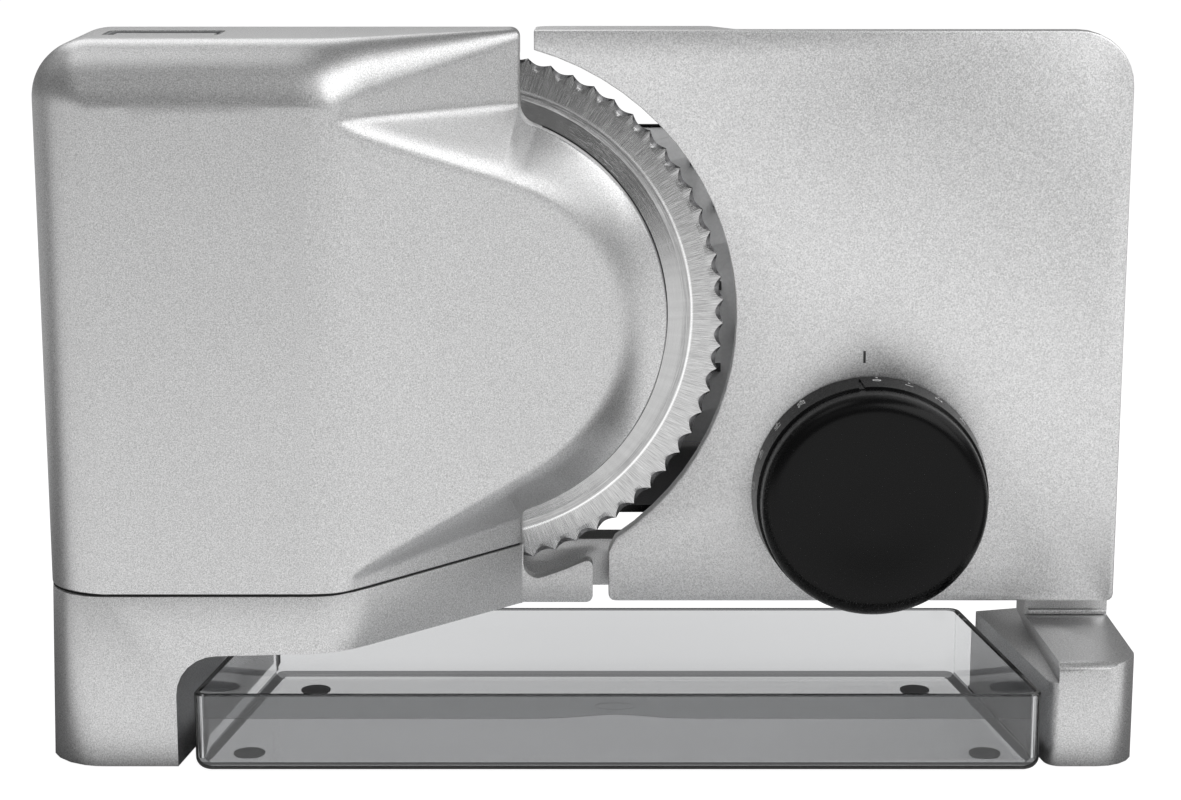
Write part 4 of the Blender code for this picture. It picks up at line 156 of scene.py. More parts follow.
def lofted(rings, looped=False):
    """A closed body through rings of points, capped at both ends or, LOOPED, led back to the first."""
    count = len(rings[0])
    points = [point for ring_points in rings for point in ring_points]
    last = (len(rings) - 1) * count
    faces = [] if looped else [tuple(range(count)), tuple(range(last, last + count))]
    for level in range(len(rings) if looped else len(rings) - 1):
        a, b = level * count, (level + 1) % len(rings) * count
        for i in range(count):
            j = (i + 1) % count
            faces.append((a + i, a + j, b + j, b + i))
    return raw(points, faces)


def prism(outline, start, end, along):
    """An outline square to the axis ALONG, pushed from START to END."""
    place = {
        "x": lambda a, b, c: (c, a, b),
        "y": lambda a, b, c: (a, c, b),
        "z": lambda a, b, c: (a, b, c),
    }[along]
    return lofted([[place(a, b, level) for a, b in outline] for level in (start, end)])


def turned(profile, centre, along, sides):
    """A closed profile of (radius, distance) turned about the axis ALONG through CENTRE."""
    middle = Vector(centre)
    right, back, up = Vector((1, 0, 0)), Vector((0, 1, 0)), Vector((0, 0, 1))
    basis = {"y": (right, up, back), "z": (right, back, up)}[along]
    points, rows = [], []
    for radius, distance in profile:
        if radius == 0:
            rows.append([len(points)] * sides)
            points.append(middle + basis[2] * distance)
            continue
        rows.append(list(range(len(points), len(points) + sides)))
        for k in range(sides):
            turn = 2 * math.pi * k / sides
            arm = basis[0] * math.cos(turn) + basis[1] * math.sin(turn)
            points.append(middle + arm * radius + basis[2] * distance)
    faces = []
    closed = profile[0][0] != 0 or profile[-1][0] != 0
    pairs = list(zip(rows, rows[1:])) + ([(rows[-1], rows[0])] if closed else [])
    for low, high in pairs:
        for k in range(sides):
            n = (k + 1) % sides
            face = list(dict.fromkeys((low[k], low[n], high[n], high[k])))
            if len(face) > 2:
                faces.append(face)
    return raw(points, faces)


def settled(obj):
    """Fixes OBJ's modifiers into its mesh."""
    graph = bpy.context.evaluated_depsgraph_get()
    graph.update()
    old = obj.data
    obj.data = bpy.data.meshes.new_from_object(obj.evaluated_get(graph))
    obj.modifiers.clear()
    bpy.data.meshes.remove(old)
    return obj


def boolean(body, other, operation):
    """Takes OTHER off BODY or adds it, by OPERATION, and uses it up."""
    step = body.modifiers.new(operation.lower(), "BOOLEAN")
    step.operation = operation
    step.object = other
    step.solver = "EXACT"
    settled(body)
    bpy.data.objects.remove(other, do_unlink=True)
    return body


def cut(body, *others):
    """BODY with the OTHERS taken off."""
    for other in others:
        boolean(body, other, "DIFFERENCE")
    return body


def rectangle(left, right, low, high):
    """The four corners of a rectangle, counter-clockwise from the lower left."""
    return [(left, low), (right, low), (right, high), (left, high)]


def arc(centre, radius, first, last, count):
    """COUNT + 1 points of an arc, from the angle FIRST to LAST in degrees."""
    points = []
    for i in range(count + 1):
        turn = math.radians(first + (last - first) * i / count)
        points.append((centre[0] + radius * math.cos(turn), centre[1] + radius * math.sin(turn)))
    return points


def run(start, end, count):
    """COUNT points from START towards END, END left out."""
    return [tuple(a + (b - a) * i / count for a, b in zip(start, end)) for i in range(count)]


def soft_step(share):
    """0 to 1 as SHARE goes from 0 to 1, level at both ends."""
    return share * share * (3 - 2 * share)


def rounded_outline(corners, radii, count):
    """A polygon whose corners are rounded, each with its own radius, in COUNT steps."""
    points = []
    total = len(corners)
    for i, (corner, radius) in enumerate(zip(corners, radii)):
        here = Vector(corner)
        before = (Vector(corners[i - 1]) - here).normalized()
        after = (Vector(corners[(i + 1) % total]) - here).normalized()
        if radius == 0:
            points.append(tuple(here))
            continue
        half = before.angle(after) / 2
        reach = radius / math.tan(half)
        middle = here + (before + after).normalized() * radius / math.sin(half)
        first, last = here + before * reach - middle, here + after * reach - middle
        sweep = first.angle_signed(last)
        for k in range(count + 1):
            spoke = first.copy()
            spoke.rotate(Matrix.Rotation(-sweep * k / count, 2))
            points.append(tuple(middle + spoke))
    return points


def put(obj, name, body, slot, material, *nodes, sharp=SHARP_ANGLE):
    """Moves a drawn piece into the model's frame, names it, gives it MATERIAL, hangs it on BODY and hides the
    NODES.
    """
    obj.data.transform(Matrix.Translation(ORIGIN))
    obj.name = name
    obj.data.name = name
    obj.data.materials.clear()
    obj.data.materials.append(material)
    obj.data.shade_smooth()
    obj.data.set_sharp_from_angle(angle=sharp)
    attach(obj, body)
    if nodes:
        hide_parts(*nodes)
    return obj


def finish_some(obj, material, chosen):
    """Gives the faces of OBJ that CHOSEN picks a second MATERIAL."""
    obj.data.materials.append(material)
    for face in obj.data.polygons:
        if chosen(face):
            face.material_index = 1


# Materials

# Detail and roughness of the noise behind every fine grain or mark
FINE = (3.0, 0.6)


class Finish:
    """A material being made: its Principled shader and short calls for the nodes that feed it."""

    def __init__(self, name, colour, roughness, metallic=0.0):
        self.material = bpy.data.materials.new(name)
        self.material.use_nodes = True
        self.tree = self.material.node_tree
        self.shader = self.tree.nodes["Principled BSDF"]
        self.set("Base Color", (*colour, 1.0))
        self.set("Roughness", roughness)
        self.set("Metallic", metallic)
        self.place = self.node("ShaderNodeTexCoord").outputs["Object"]

    def set(self, name, value):
        self.shader.inputs[name].default_value = value

    def feed(self, name, source):
        self.link(source, self.shader.inputs[name])

    def node(self, kind, values=(), **settings):
        """A new node with its settings and the even VALUES of its inputs."""
        made = self.tree.nodes.new(kind)
        for name, value in settings.items():
            setattr(made, name, value)
        for name, value in dict(values).items():
            made.inputs[name].default_value = value
        return made

    def link(self, source, target):
        self.tree.links.new(source, target)

    def offset(self, centre):
        """How far each point lies from CENTRE: the outputs X, Y and Z."""
        shift = self.node("ShaderNodeVectorMath", operation="SUBTRACT")
        shift.inputs[1].default_value = centre
        self.link(self.place, shift.inputs[0])
        parts = self.node("ShaderNodeSeparateXYZ")
        self.link(shift.outputs["Vector"], parts.inputs["Vector"])
        return parts.outputs

    def noise(self, scale, detail=2.0, roughness=0.5, place=None):
        """A noise of SCALE over the object's own coordinates, or over PLACE."""
        made = self.node("ShaderNodeTexNoise", {"Scale": scale, "Detail": detail, "Roughness": roughness})
        self.link(place or self.place, made.inputs["Vector"])
        return made.outputs["Fac"]

    def spread(self, source, low, high, start=0.3, end=0.7):
        """Maps a value from START..END to LOW..HIGH."""
        ends = {"From Min": start, "From Max": end, "To Min": low, "To Max": high}
        made = self.node("ShaderNodeMapRange", ends)
        self.link(source, made.inputs["Value"])
        return made.outputs["Result"]

    def calculate(self, operation, first, second=0):
        """A maths node's result; FIRST and SECOND are numbers or outputs."""
        made = self.node("ShaderNodeMath", operation=operation)
        for socket, value in zip(made.inputs, (first, second)):
            if isinstance(value, (int, float)):
                socket.default_value = value
            else:
                self.link(value, socket)
        return made.outputs["Value"]

    def sum(self, first, second):
        return self.calculate("ADD", first, second)

    def product(self, first, second):
        return self.calculate("MULTIPLY", first, second)

    def larger(self, first, second):
        return self.calculate("MAXIMUM", first, second)

    def rest(self, share):
        """What SHARE leaves of 1."""
        return self.calculate("SUBTRACT", 1, share)

    def grey(self, shade):
        """A grey of one SHADE."""
        combine = self.node("ShaderNodeCombineColor")
        for channel in combine.inputs:
            self.link(shade, channel)
        return combine.outputs["Color"]

    def tint(self, shade, colour):
        """The base colour: COLOUR times a grey SHADE."""
        values = {"Factor": 1.0, "A": (*colour, 1.0)}
        made = self.node("ShaderNodeMix", values, data_type="RGBA", blend_type="MULTIPLY")
        self.link(self.grey(shade), made.inputs["B"])
        self.feed("Base Color", made.outputs["Result"])

    def bump(self, height, strength, distance):
        """Small relief, DISTANCE high, shown at STRENGTH."""
        made = self.node("ShaderNodeBump", {"Strength": strength, "Distance": distance})
        self.link(height, made.inputs["Height"])
        self.feed("Normal", made.outputs["Normal"])


# The grain: how much coarser and weaker its broad part is, how its roughness varies, bump strength
BROAD_SCALE = 90
BROAD_SHADE = 40
GRAIN_ROUGHNESS = (0.9, 1.1)
GRAIN_STRENGTH = 0.6


def grained(name, colour, roughness, metallic, grain, shade, relief, specular=0.5):
    """A finish with an even fine grain: GRAIN is its scale, SHADE its change of tone, RELIEF its height."""
    made = Finish(name, colour, roughness, metallic)
    fine = made.noise(grain, *FINE)
    broad = made.noise(grain / BROAD_SCALE)
    change = shade / BROAD_SHADE
    tone = made.sum(made.spread(fine, 1 - shade, 1 + shade), made.spread(broad, -change, change))
    made.tint(tone, colour)
    made.feed("Roughness", made.spread(fine, *(roughness * share for share in GRAIN_ROUGHNESS)))
    made.bump(fine, GRAIN_STRENGTH, relief)
    made.set("Specular IOR Level", specular)
    return made.material


def radial(made):
    """The distance from the blade's axis and the angle round it, in metres and radians."""
    parts = made.offset((ORIGIN.x, ORIGIN.y, AXIS))
    x, z = parts["X"], parts["Z"]
    squares = made.sum(made.product(x, x), made.product(z, z))
    return made.calculate("POWER", squares, 0.5), made.calculate("ARCTAN2", z, x)


def streaks(made, distance, turn, along, across):
    """Grinding marks: noise drawn out, with ALONG its scale over distance and ACROSS its scale over angle."""
    combine = made.node("ShaderNodeCombineXYZ")
    made.link(made.product(distance, along), combine.inputs["X"])
    made.link(made.product(turn, across), combine.inputs["Y"])
    return made.noise(1.0, *FINE, combine.outputs["Vector"])


# The blade's marks as scales over distance and angle, and each zone's tone and how the marks change it
OUTWARD_MARKS, FAN_MARKS, TURNED_MARKS = (160, 420), (25, 26), (5200, 5)
CONE_TONE, CONE_CHANGE = 0.54, (0.62, 1.38)
STEP_TONE, STEP_CHANGE = 0.44, (0.62, 1.3)
INSIDE_TONE, INSIDE_CHANGE = 0.50, (0.94, 1.06)
FAN_CHANGE = (0.94, 1.06)
CONE_BLEND = 0.0012
STEP_FADE_START, STEP_FADE_END = 0.0028, 0.0014
GRIND_ROUGHNESS, GRIND_CHANGE = 0.17, 0.08
GRIND_STRENGTH, GRIND_RELIEF = 0.7, 0.00005


def blade_finish():
    """Ground stainless steel: the cone is ground outwards, the step and the inside are turned."""
    made = Finish("blade_ground_steel", (0.60, 0.60, 0.61), 0.26, 1.0)
    distance, turn = radial(made)
    outward = streaks(made, distance, turn, *OUTWARD_MARKS)
    fans = streaks(made, distance, turn, *FAN_MARKS)
    rounds = streaks(made, distance, turn, *TURNED_MARKS)
    cone = made.spread(distance, 0, 1, BEVEL_RADIUS, BEVEL_RADIUS + CONE_BLEND)
    past_dish = made.spread(distance, 0, 1, BEVEL_RADIUS - STEP_FADE_START, BEVEL_RADIUS - STEP_FADE_END)
    step = made.product(past_dish, made.rest(cone))
    inside = made.rest(made.larger(cone, step))
    base = made.sum(made.product(cone, CONE_TONE), made.product(step, STEP_TONE))
    base = made.sum(base, made.product(inside, INSIDE_TONE))
    marks = made.product(made.spread(outward, *CONE_CHANGE), cone)
    for zone, change in ((step, STEP_CHANGE), (inside, INSIDE_CHANGE)):
        marks = made.sum(marks, made.product(made.spread(rounds, *change), zone))
    tone = made.product(made.product(base, marks), made.spread(fans, *FAN_CHANGE))
    made.feed("Base Color", made.grey(tone))
    grind = made.product(made.spread(outward, 0, GRIND_CHANGE), cone)
    made.feed("Roughness", made.sum(grind, GRIND_ROUGHNESS))
    relief = made.sum(made.product(outward, cone), made.product(rounds, made.rest(cone)))
    made.bump(relief, GRIND_STRENGTH, GRIND_RELIEF)
    return made.material


# Brushed steel: how its marks change the tone and the roughness, and their bump
BRUSHED_TONE = (0.88, 1.1)
BRUSHED_ROUGHNESS = (0.8, 1.25)
BRUSHED_BUMP = (0.3, 0.00003)


def brushed(name, colour, roughness, scale=(60, 2500, 60)):
    """Steel with fine marks drawn out along one way."""
    made = Finish(name, colour, roughness, 1.0)
    stretch = made.node("ShaderNodeMapping", {"Scale": scale})
    made.link(made.place, stretch.inputs["Vector"])
    marks = made.noise(1.0, *FINE, stretch.outputs["Vector"])
    made.tint(made.spread(marks, *BRUSHED_TONE), colour)
    made.feed("Roughness", made.spread(marks, *(roughness * share for share in BRUSHED_ROUGHNESS)))
    made.bump(marks, *BRUSHED_BUMP)
    return made.material


# Clear plastic and its faint flow marks
CLEAR_IOR = 1.49
CLEAR_ROUGHNESS = 0.03
FLOW_NOISE = (35, 1.0)
FLOW_ROUGHNESS = (0.015, 0.05)
FLOW_BUMP = (0.15, 0.0002)


def clear_finish(name, colour):
    """Clear smoke-grey plastic with faint flow marks."""
    made = Finish(name, colour, CLEAR_ROUGHNESS)
    made.set("Transmission Weight", 1.0)
    made.set("IOR", CLEAR_IOR)
    flow = made.noise(*FLOW_NOISE)
    made.feed("Roughness", made.spread(flow, *FLOW_ROUGHNESS))
    made.bump(flow, *FLOW_BUMP)
    return made.material


# Each grained finish: name, colour, roughness, metallic, scale of the grain, change of tone, relief
SILVER = grained("silver_paint_grain", (0.65, 0.65, 0.652), 0.38, 0.9, 2600, 0.36, 0.00002)
PLATE_SILVER = grained("silver_plate_grain", (0.76, 0.76, 0.762), 0.45, 0.9, 2600, 0.34, 0.000012)
INNER = grained("inner_grey_plastic", (0.28, 0.285, 0.29), 0.55, 0.0, 1800, 0.08, 0.00003)
BLACK = grained(
    "black_satin_plastic_and_painted_shadow", (0.0030, 0.0030, 0.0032), 0.27, 0.0, 2200, 0.25, 0.00003, specular=0.17
)
HOLDER = grained("holder_grey_plastic", (0.90, 0.905, 0.91), 0.32, 0.0, 900, 0.05, 0.00002)
# Painted shade for the holder's spikes and upper face
HOLDER_PAINTED_SHADE = grained("holder_painted_shade", (0.022, 0.022, 0.023), 0.45, 0.0, 900, 0.2, 0.00002)
# Rubber for the imported rubber parts, also used for the dark strips of painted shadow in the seam and behind
# the nose
RUBBER_AND_PAINTED_SHADOW = grained("soft_rubber_and_painted_shadow", (0.025, 0.025, 0.026), 0.8, 0.0, 1500, 0.3, 0.00006)
ACETAL = grained("acetal_gears", (0.80, 0.79, 0.74), 0.42, 0.0, 1200, 0.05, 0.00002)
BRASS = grained("sintered_bearing", (0.70, 0.53, 0.27), 0.38, 1.0, 3000, 0.2, 0.00003)
COPPER = grained("wound_copper", (0.62, 0.30, 0.15), 0.42, 0.9, 2500, 0.2, 0.00004)
CAN = grained("rolled_steel_can", (0.38, 0.39, 0.40), 0.42, 1.0, 1400, 0.1, 0.00002)
# Dark grey pads: partly their thick smoke plastic, partly painted shade for the shadow and refraction that
# darken them
SMOKE_PAD_PAINTED_SHADE = grained("smoke_pad_painted_shade", (0.10, 0.10, 0.105), 0.3, 0.0, 900, 0.1, 0.00002)
INK = grained("printed_white", (0.88, 0.88, 0.88), 0.5, 0.0, 2500, 0.05, 0.00001)
DARK_INK = grained("printed_black", (0.03, 0.03, 0.03), 0.5, 0.0, 2500, 0.1, 0.00001)

# Each brushed finish: name, colour, roughness, scales of its marks along x, y and z
STEEL = brushed("turned_steel", (0.52, 0.52, 0.53), 0.34)
LINING = brushed("pressed_steel", (0.50, 0.50, 0.51), 0.36, (40, 40, 1800))
# Painted shade: a darker steel for the hollows between the teeth
HOLLOW_PAINTED_SHADE = brushed("hollow_steel_painted_shade", (0.27, 0.27, 0.275), 0.24, (900, 900, 900))

BLADE = blade_finish()
SMOKE = clear_finish("smoke_clear_plastic", (0.62, 0.625, 0.632))
SMOKE_THICK = clear_finish("smoke_thick_edge", (0.07, 0.071, 0.073))
SMOKE_BAND = clear_finish("smoke_double_wall", (0.50, 0.505, 0.51))

NODE_FINISHES = {
    "silver_paint": SILVER,
    "inner_plastic": INNER,
    "blade_steel": BLADE,
    "machined_steel": STEEL,
    "bush_brass": BRASS,
    "motor_steel": CAN,
    "copper_winding": COPPER,
    "black_plastic": BLACK,
    "smoke_clear": SMOKE,
    "holder_plastic": HOLDER,
    "rubber": RUBBER_AND_PAINTED_SHADOW,
    "gear_plastic": ACETAL,
}


def finish_nodes():
    """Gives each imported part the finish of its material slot, and the plate's lining its own."""
    for name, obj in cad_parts.items():
        slot = obj.data.materials[0].name.split(".")[0]
        obj.data.materials.clear()
        obj.data.materials.append(LINING if name == "plate_lining" else NODE_FINISHES[slot])


# The housing


def seam_height(x):
    """The height of the housing's lower edge, a narrow groove above the base."""
    return SEAM_LEFT_HEIGHT + SEAM_GAP + SEAM_SLOPE * max(0, x - CREASE_X)


def ramp(distance, blend=CREASE_BLEND):
    """0 before the crease and the distance after it, blended over BLEND each way."""
    if distance < -blend:
        return 0
    if distance > blend:
        return distance
    return (distance + blend) ** 2 / (4 * blend)


def valley_depth(x):
    """How far the face outside the fold stands in front of the cutting plane."""
    slope = (FACE_DEPTH - CORNER_DEPTH) / (HOUSING_RIGHT - APEX_X)
    return max(CORNER_DEPTH, FACE_DEPTH - slope * ramp(x - APEX_X))


def nose_fillet(upper):
    """The radius of the fillet between the nose and the housing's right side."""
    return NOSE_TOP_FILLET if upper else NOSE_LOW_FILLET


def fillet_rise(fillet):
    """How far above or below the axis the centre of a nose fillet lies."""
    return math.sqrt((NOSE_RADIUS + fillet) ** 2 - (HOUSING_RIGHT + fillet) ** 2)


def ridge_apex(upper):
    """Where the ridge and the fold meet, above or below the axis, and the angle to it."""
    apex = Vector((APEX_X, APEX_RISE if upper else APEX_DROP))
    return apex, math.atan2(apex.y, apex.x)


def band_edges(turn, upper):
    """Where the ridge and the fold cross the ray at TURN from the blade's axis, or None past the apex."""
    fillet = nose_fillet(upper)
    apex, apex_turn = ridge_apex(upper)
    corner = Vector((HOUSING_RIGHT, fillet_rise(fillet)))
    if turn >= apex_turn:
        return None
    lean = apex_turn - math.acos(RIDGE_RADIUS / apex.length)
    ridge = RIDGE_RADIUS / math.cos(max(0, turn - lean))
    corner_turn = math.atan2(corner.y, corner.x)
    touch_turn = math.atan2(corner.y, corner.x + fillet)
    if turn > corner_turn:
        side = apex - corner
        fold = corner.cross(side) / Vector((math.cos(turn), math.sin(turn))).cross(side)
    else:
        share = max(0, turn - touch_turn) / (corner_turn - touch_turn)
        fold = NOSE_RADIUS + (corner.length - NOSE_RADIUS) * share
    return ridge, fold, apex_turn


def band_share(x, z):
    """0 inside the ridge, 1 from the fold outwards, softly rounded at both."""
    turn = math.atan2(abs(z - AXIS), x)
    edges = band_edges(turn, z > AXIS)
    if edges is None:
        return 0
    ridge, fold, apex_turn = edges
    distance, width = math.hypot(x, z - AXIS) - ridge, max(fold - ridge, LIP_ROUND)
    share = (ramp(distance, RIDGE_BLEND) - ramp(distance - width, FOLD_BLEND)) / width
    return share * soft_step(min(1, (apex_turn - turn) / APEX_FADE))


def rim_distance(x, z):
    """How far inside the free edge beside the blade a point lies."""
    fillet = nose_fillet(z > AXIS)
    rise, reach = fillet_rise(fillet), HOUSING_RIGHT + fillet
    if abs(z - AXIS) >= rise:
        return HOUSING_RIGHT - x
    if math.atan2(abs(z - AXIS), x) > math.atan2(rise, reach):
        return math.hypot(x - reach, abs(z - AXIS) - rise) - fillet
    return NOSE_RADIUS - math.hypot(x, z - AXIS)


def front_depth(x, z):
    """How far the housing's face stands in front of the cutting plane."""
    slope = FACE_DEPTH - FACE_SLOPE * ramp(x - CREASE_X)
    valley = min(slope, valley_depth(x))
    depth = slope + (valley - slope) * band_share(x, z)
    from_left, from_top = x + SIDE_LEFT, HOUSING_TOP - z
    inside = min(from_left, from_top)
    if max(from_left, from_top) < CORNER_ROUND:
        inside = CORNER_ROUND - math.hypot(CORNER_ROUND - from_left, CORNER_ROUND - from_top)
    radius = EDGE_ROUND * valley / FACE_DEPTH
    if inside < radius:
        fall = radius - max(0, inside)
        depth -= (1 - EDGE_BREAK) * (radius - math.sqrt(radius**2 - fall**2)) + EDGE_BREAK * fall
    lip = max(0, rim_distance(x, z))
    if lip < LIP_ROUND:
        depth -= LIP_ROUND - math.sqrt(LIP_ROUND**2 - (LIP_ROUND - lip) ** 2)
    lip = max(0, z - seam_height(x))
    if lip < LIP_ROUND / 2:
        depth -= (LIP_ROUND - math.sqrt(LIP_ROUND**2 - (LIP_ROUND - 2 * lip) ** 2)) / 2
    return depth


# Steps along the stretches of the housing's outline
SEAM_STEPS = (26, 34, 40)
RIGHT_LOW_STEPS, LOW_FILLET_STEPS, NOSE_STEPS, TOP_FILLET_STEPS = 6, 6, 96, 14
RIGHT_TOP_STEPS, TIP_STEPS, TOP_STEPS, CORNER_STEPS, LEFT_STEPS = 18, 6, 70, 20, 60


def housing_outline(inset):
    """The housing's outline in (x, z), counter-clockwise from the bottom left, pulled in by INSET."""
    left, right, top = -SIDE_LEFT + inset, HOUSING_RIGHT - inset, HOUSING_TOP - inset
    low_rise, top_rise = fillet_rise(NOSE_LOW_FILLET), fillet_rise(NOSE_TOP_FILLET)
    low_middle = (HOUSING_RIGHT + NOSE_LOW_FILLET, AXIS - low_rise)
    top_middle = (HOUSING_RIGHT + NOSE_TOP_FILLET, AXIS + top_rise)
    low_turn = math.degrees(math.atan2(low_rise, low_middle[0]))
    top_turn = math.degrees(math.atan2(top_rise, top_middle[0]))
    corner = CORNER_ROUND - inset
    tip = max(TIP_ROUND - inset, LIP_ROUND)
    points = []
    stops = (left, left + EDGE_ROUND, CREASE_X, right)
    for first, last, count in zip(stops, stops[1:], SEAM_STEPS):
        points += [(x, seam_height(x) + inset) for (x,) in run((first,), (last,), count)]
    points += run((right, seam_height(right) + inset), (right, low_middle[1]), RIGHT_LOW_STEPS)
    points += arc(low_middle, NOSE_LOW_FILLET + inset, 180, 180 - low_turn, LOW_FILLET_STEPS)
    points += arc((0, AXIS), NOSE_RADIUS - inset, -low_turn, top_turn, NOSE_STEPS)[1:]
    points += arc(top_middle, NOSE_TOP_FILLET + inset, 180 + top_turn, 180, TOP_FILLET_STEPS)[1:]
    points += run((right, top_middle[1]), (right, top - tip), RIGHT_TOP_STEPS)[1:]
    points += arc((right - tip, top - tip), tip, 0, 90, TIP_STEPS)
    points += run((right - tip, top), (left + corner, top), TOP_STEPS)[1:]
    points += arc((left + corner, top - corner), corner, 90, 180, CORNER_STEPS)
    points += run((left, top - corner), (left, seam_height(left) + inset), LEFT_STEPS)[1:]
    return points


def eased(low, high, count, end=1.0):
    """COUNT values from LOW to HIGH, LOW left out, closer together towards HIGH as END grows."""
    return [low + (high - low) * (1 - (1 - i / count) ** end) for i in range(1, count + 1)]


# Shares of the way out: the ridge's and the fold's limits, the least band, the fold far from the apex
RIDGE_LIMIT, FOLD_LIMIT = 0.93, 0.985
LEAST_BAND = 0.02
SETTLED_SHARE = 0.84
SETTLE_TURN = math.radians(14)
# Rings inside the ridge, in each stretch of the band and outside it
INNER_RINGS, BAND_RINGS, OUTER_RINGS = 24, 5, 18
INNER_EASE, OUTER_EASE = 1.15, 1.7


def ring_radii(x, z):
    """The distances from the blade's axis at which the face is drawn, out to a point of its outline."""
    whole = math.hypot(x, z - AXIS)
    turn, upper = math.atan2(abs(z - AXIS), x), z > AXIS
    edges = band_edges(turn, upper)
    if edges:
        ridge, fold = min(edges[0], RIDGE_LIMIT * whole), min(edges[1], FOLD_LIMIT * whole)
        ridge = min(ridge, fold - LEAST_BAND * whole)
    else:
        apex, apex_turn = ridge_apex(upper)
        limit = HOUSING_TOP - AXIS if upper else AXIS - seam_height(APEX_X)
        share = min(FOLD_LIMIT, apex.y / limit)
        share += (SETTLED_SHARE - share) * soft_step(min(1, (turn - apex_turn) / SETTLE_TURN))
        ridge, fold = (share - LEAST_BAND) * whole, share * whole
    width = (fold - ridge) / 3
    radii = eased(0, ridge - width / 2, INNER_RINGS, INNER_EASE)
    for stop in (ridge + width / 2, fold - width / 2, fold + (whole - fold) / 6):
        radii += eased(radii[-1], stop, BAND_RINGS)
    radii += eased(radii[-1], whole, OUTER_RINGS, OUTER_EASE)
    return radii


def face_body(outline):
    """A closed body: the housing's face over OUTLINE, with a flat back on the cutting plane."""
    points, rings = [], 0
    for x, z in outline:
        whole = math.hypot(x, z - AXIS)
        radii = ring_radii(x, z)
        rings = len(radii)
        for radius in reversed(radii):
            a, b = x * radius / whole, AXIS + (z - AXIS) * radius / whole
            points.append((a, -front_depth(a, b), b))
    count = len(outline)
    points.append((0, -front_depth(0, AXIS), AXIS))
    points += [(x, 0, z) for x, z in outline]
    tip, base = count * rings, count * rings + 1
    faces = [tuple(base + i for i in range(count))]
    for i in range(count):
        j = (i + 1) % count
        for k in range(rings - 1):
            faces.append((i * rings + k, j * rings + k, j * rings + k + 1, i * rings + k + 1))
        faces.append((i * rings + rings - 1, j * rings + rings - 1, tip))
        faces.append((i * rings, j * rings, base + j, base + i))
    return raw(points, faces)


SLOT_ROUND = 0.0022
SLOT_GAP = 0.0003
SLOT_CUT_DEPTH = SLOT_ROUND * 5


def slot_outline(margin):
    """The switch's rounded opening in (x, y), pulled in by MARGIN from the bezel's outside."""
    left, right = SLOT_LOW.x + margin, SLOT_HIGH.x - margin
    front, back = SLOT_LOW.y + margin, SLOT_HIGH.y - margin
    return rounded_outline(rectangle(left, right, front, back), [SLOT_ROUND] * 4, 6)


def make_housing():
    """The housing's moulded face and sides, hollow behind, with the switch's slot in its top."""
    shell = face_body(housing_outline(0))
    cut(shell, prism(housing_outline(HOUSING_WALL), -HOLLOW_DEPTH, CUT_PAST, "y"))
    cut(shell, prism(slot_outline(-SLOT_GAP), HOUSING_TOP - SLOT_CUT_DEPTH, HOUSING_TOP + CUT_PAST, "z"))
    front, back = -BLADE_POCKET_DEPTH, 2 * CUT_PAST
    pocket = [(0, front), (BLADE_POCKET_RADIUS, front), (BLADE_POCKET_RADIUS, back), (0, back)]
    cut(shell, turned(pocket, (0, 0, AXIS), "y", BLADE_POCKET_SIDES))
    put(shell, "housing_shell", "frame", "silver_paint", SILVER, "motor_housing")


# Dark strips of painted shadow in the seam and behind the nose's edge: the seam's lies back from the face,
# the nose's stands out past the nose's edge by a small proud size
SEAM_SETBACK = 0.0008
SEAM_SHADOW_STEPS = 48
NOSE_SHADOW_PROUD = 0.0004
NOSE_SHADOW_HOLD = 0.0010
NOSE_SHADOW_FRONT, NOSE_SHADOW_BACK = 0.0040, 0.0028
NOSE_SHADOW_STEPS = 72


def make_gaskets():
    """Painted shadow: dark strips in the seam above the base and behind the nose's edge."""
    rings = []
    left, right = -SIDE_LEFT + SEAM_SETBACK, HOUSING_RIGHT - SEAM_SETBACK
    for step in range(SEAM_SHADOW_STEPS + 1):
        x = left + (right - left) * (step / SEAM_SHADOW_STEPS) ** 2
        seam, back = seam_height(x), -BLADE_POCKET_DEPTH
        front = SEAM_SETBACK - front_depth(x, seam + 2 * LIP_ROUND)
        low, high = seam - SEAM_GAP * 1.5, seam + SEAM_GAP
        rings.append([(x, front, low), (x, front, high), (x, back, high), (x, back, low)])
    # A dark strip of painted shadow in the seam above the base
    put(lofted(rings), "seam_painted_shadow", "frame", None, RUBBER_AND_PAINTED_SHADOW)
    low = -math.acos((HOUSING_RIGHT + NOSE_LOW_FILLET * 2) / NOSE_RADIUS)
    high = math.acos((HOUSING_RIGHT + NOSE_TOP_FILLET) / NOSE_RADIUS)
    inside, outside = NOSE_RADIUS - NOSE_SHADOW_HOLD, NOSE_RADIUS + NOSE_SHADOW_PROUD
    front, back = -NOSE_SHADOW_FRONT, -NOSE_SHADOW_BACK
    section = ((inside, front), (outside, front), (outside, back), (inside, back))
    rings = []
    for step in range(NOSE_SHADOW_STEPS + 1):
        turn = low + (high - low) * step / NOSE_SHADOW_STEPS
        rings.append([(r * math.cos(turn), y, AXIS + r * math.sin(turn)) for r, y in section])
    # A dark strip of painted shadow behind the nose's edge, beside the blade
    put(lofted(rings), "nose_painted_shadow", "frame", None, RUBBER_AND_PAINTED_SHADOW)


# The blade

TEETH = 70
TOOTH_STEPS = 12
TOOTH_TURN = math.radians(8.1)
BLADE_GROWTH = 0.0007
SCALLOP_DEPTH = 0.0013
HOLLOW_WIDTH = 0.0013
HOLLOW_SHARPNESS = 0.85
EDGE_THICKNESS = 0.0004
EDGE_CHAMFER = 0.0002
HOLLOW_RISE = 0.0004
TOOTH_BAND = 0.0038
BAND_RISE = 0.0003
BAND_END, BAND_END_RISE = 0.0004, 0.00035
BEVEL_DEPTH = 0.0015
STEP_RISE = 0.0001
DISH_RADIUS = 0.0670
DISH_HEIGHT = 0.0026
DISH_WIDTH = 0.0060
BORE_RADIUS = 0.0058
BACK_GRIND = 0.0050
BLADE_SHARP_ANGLE = math.radians(9)


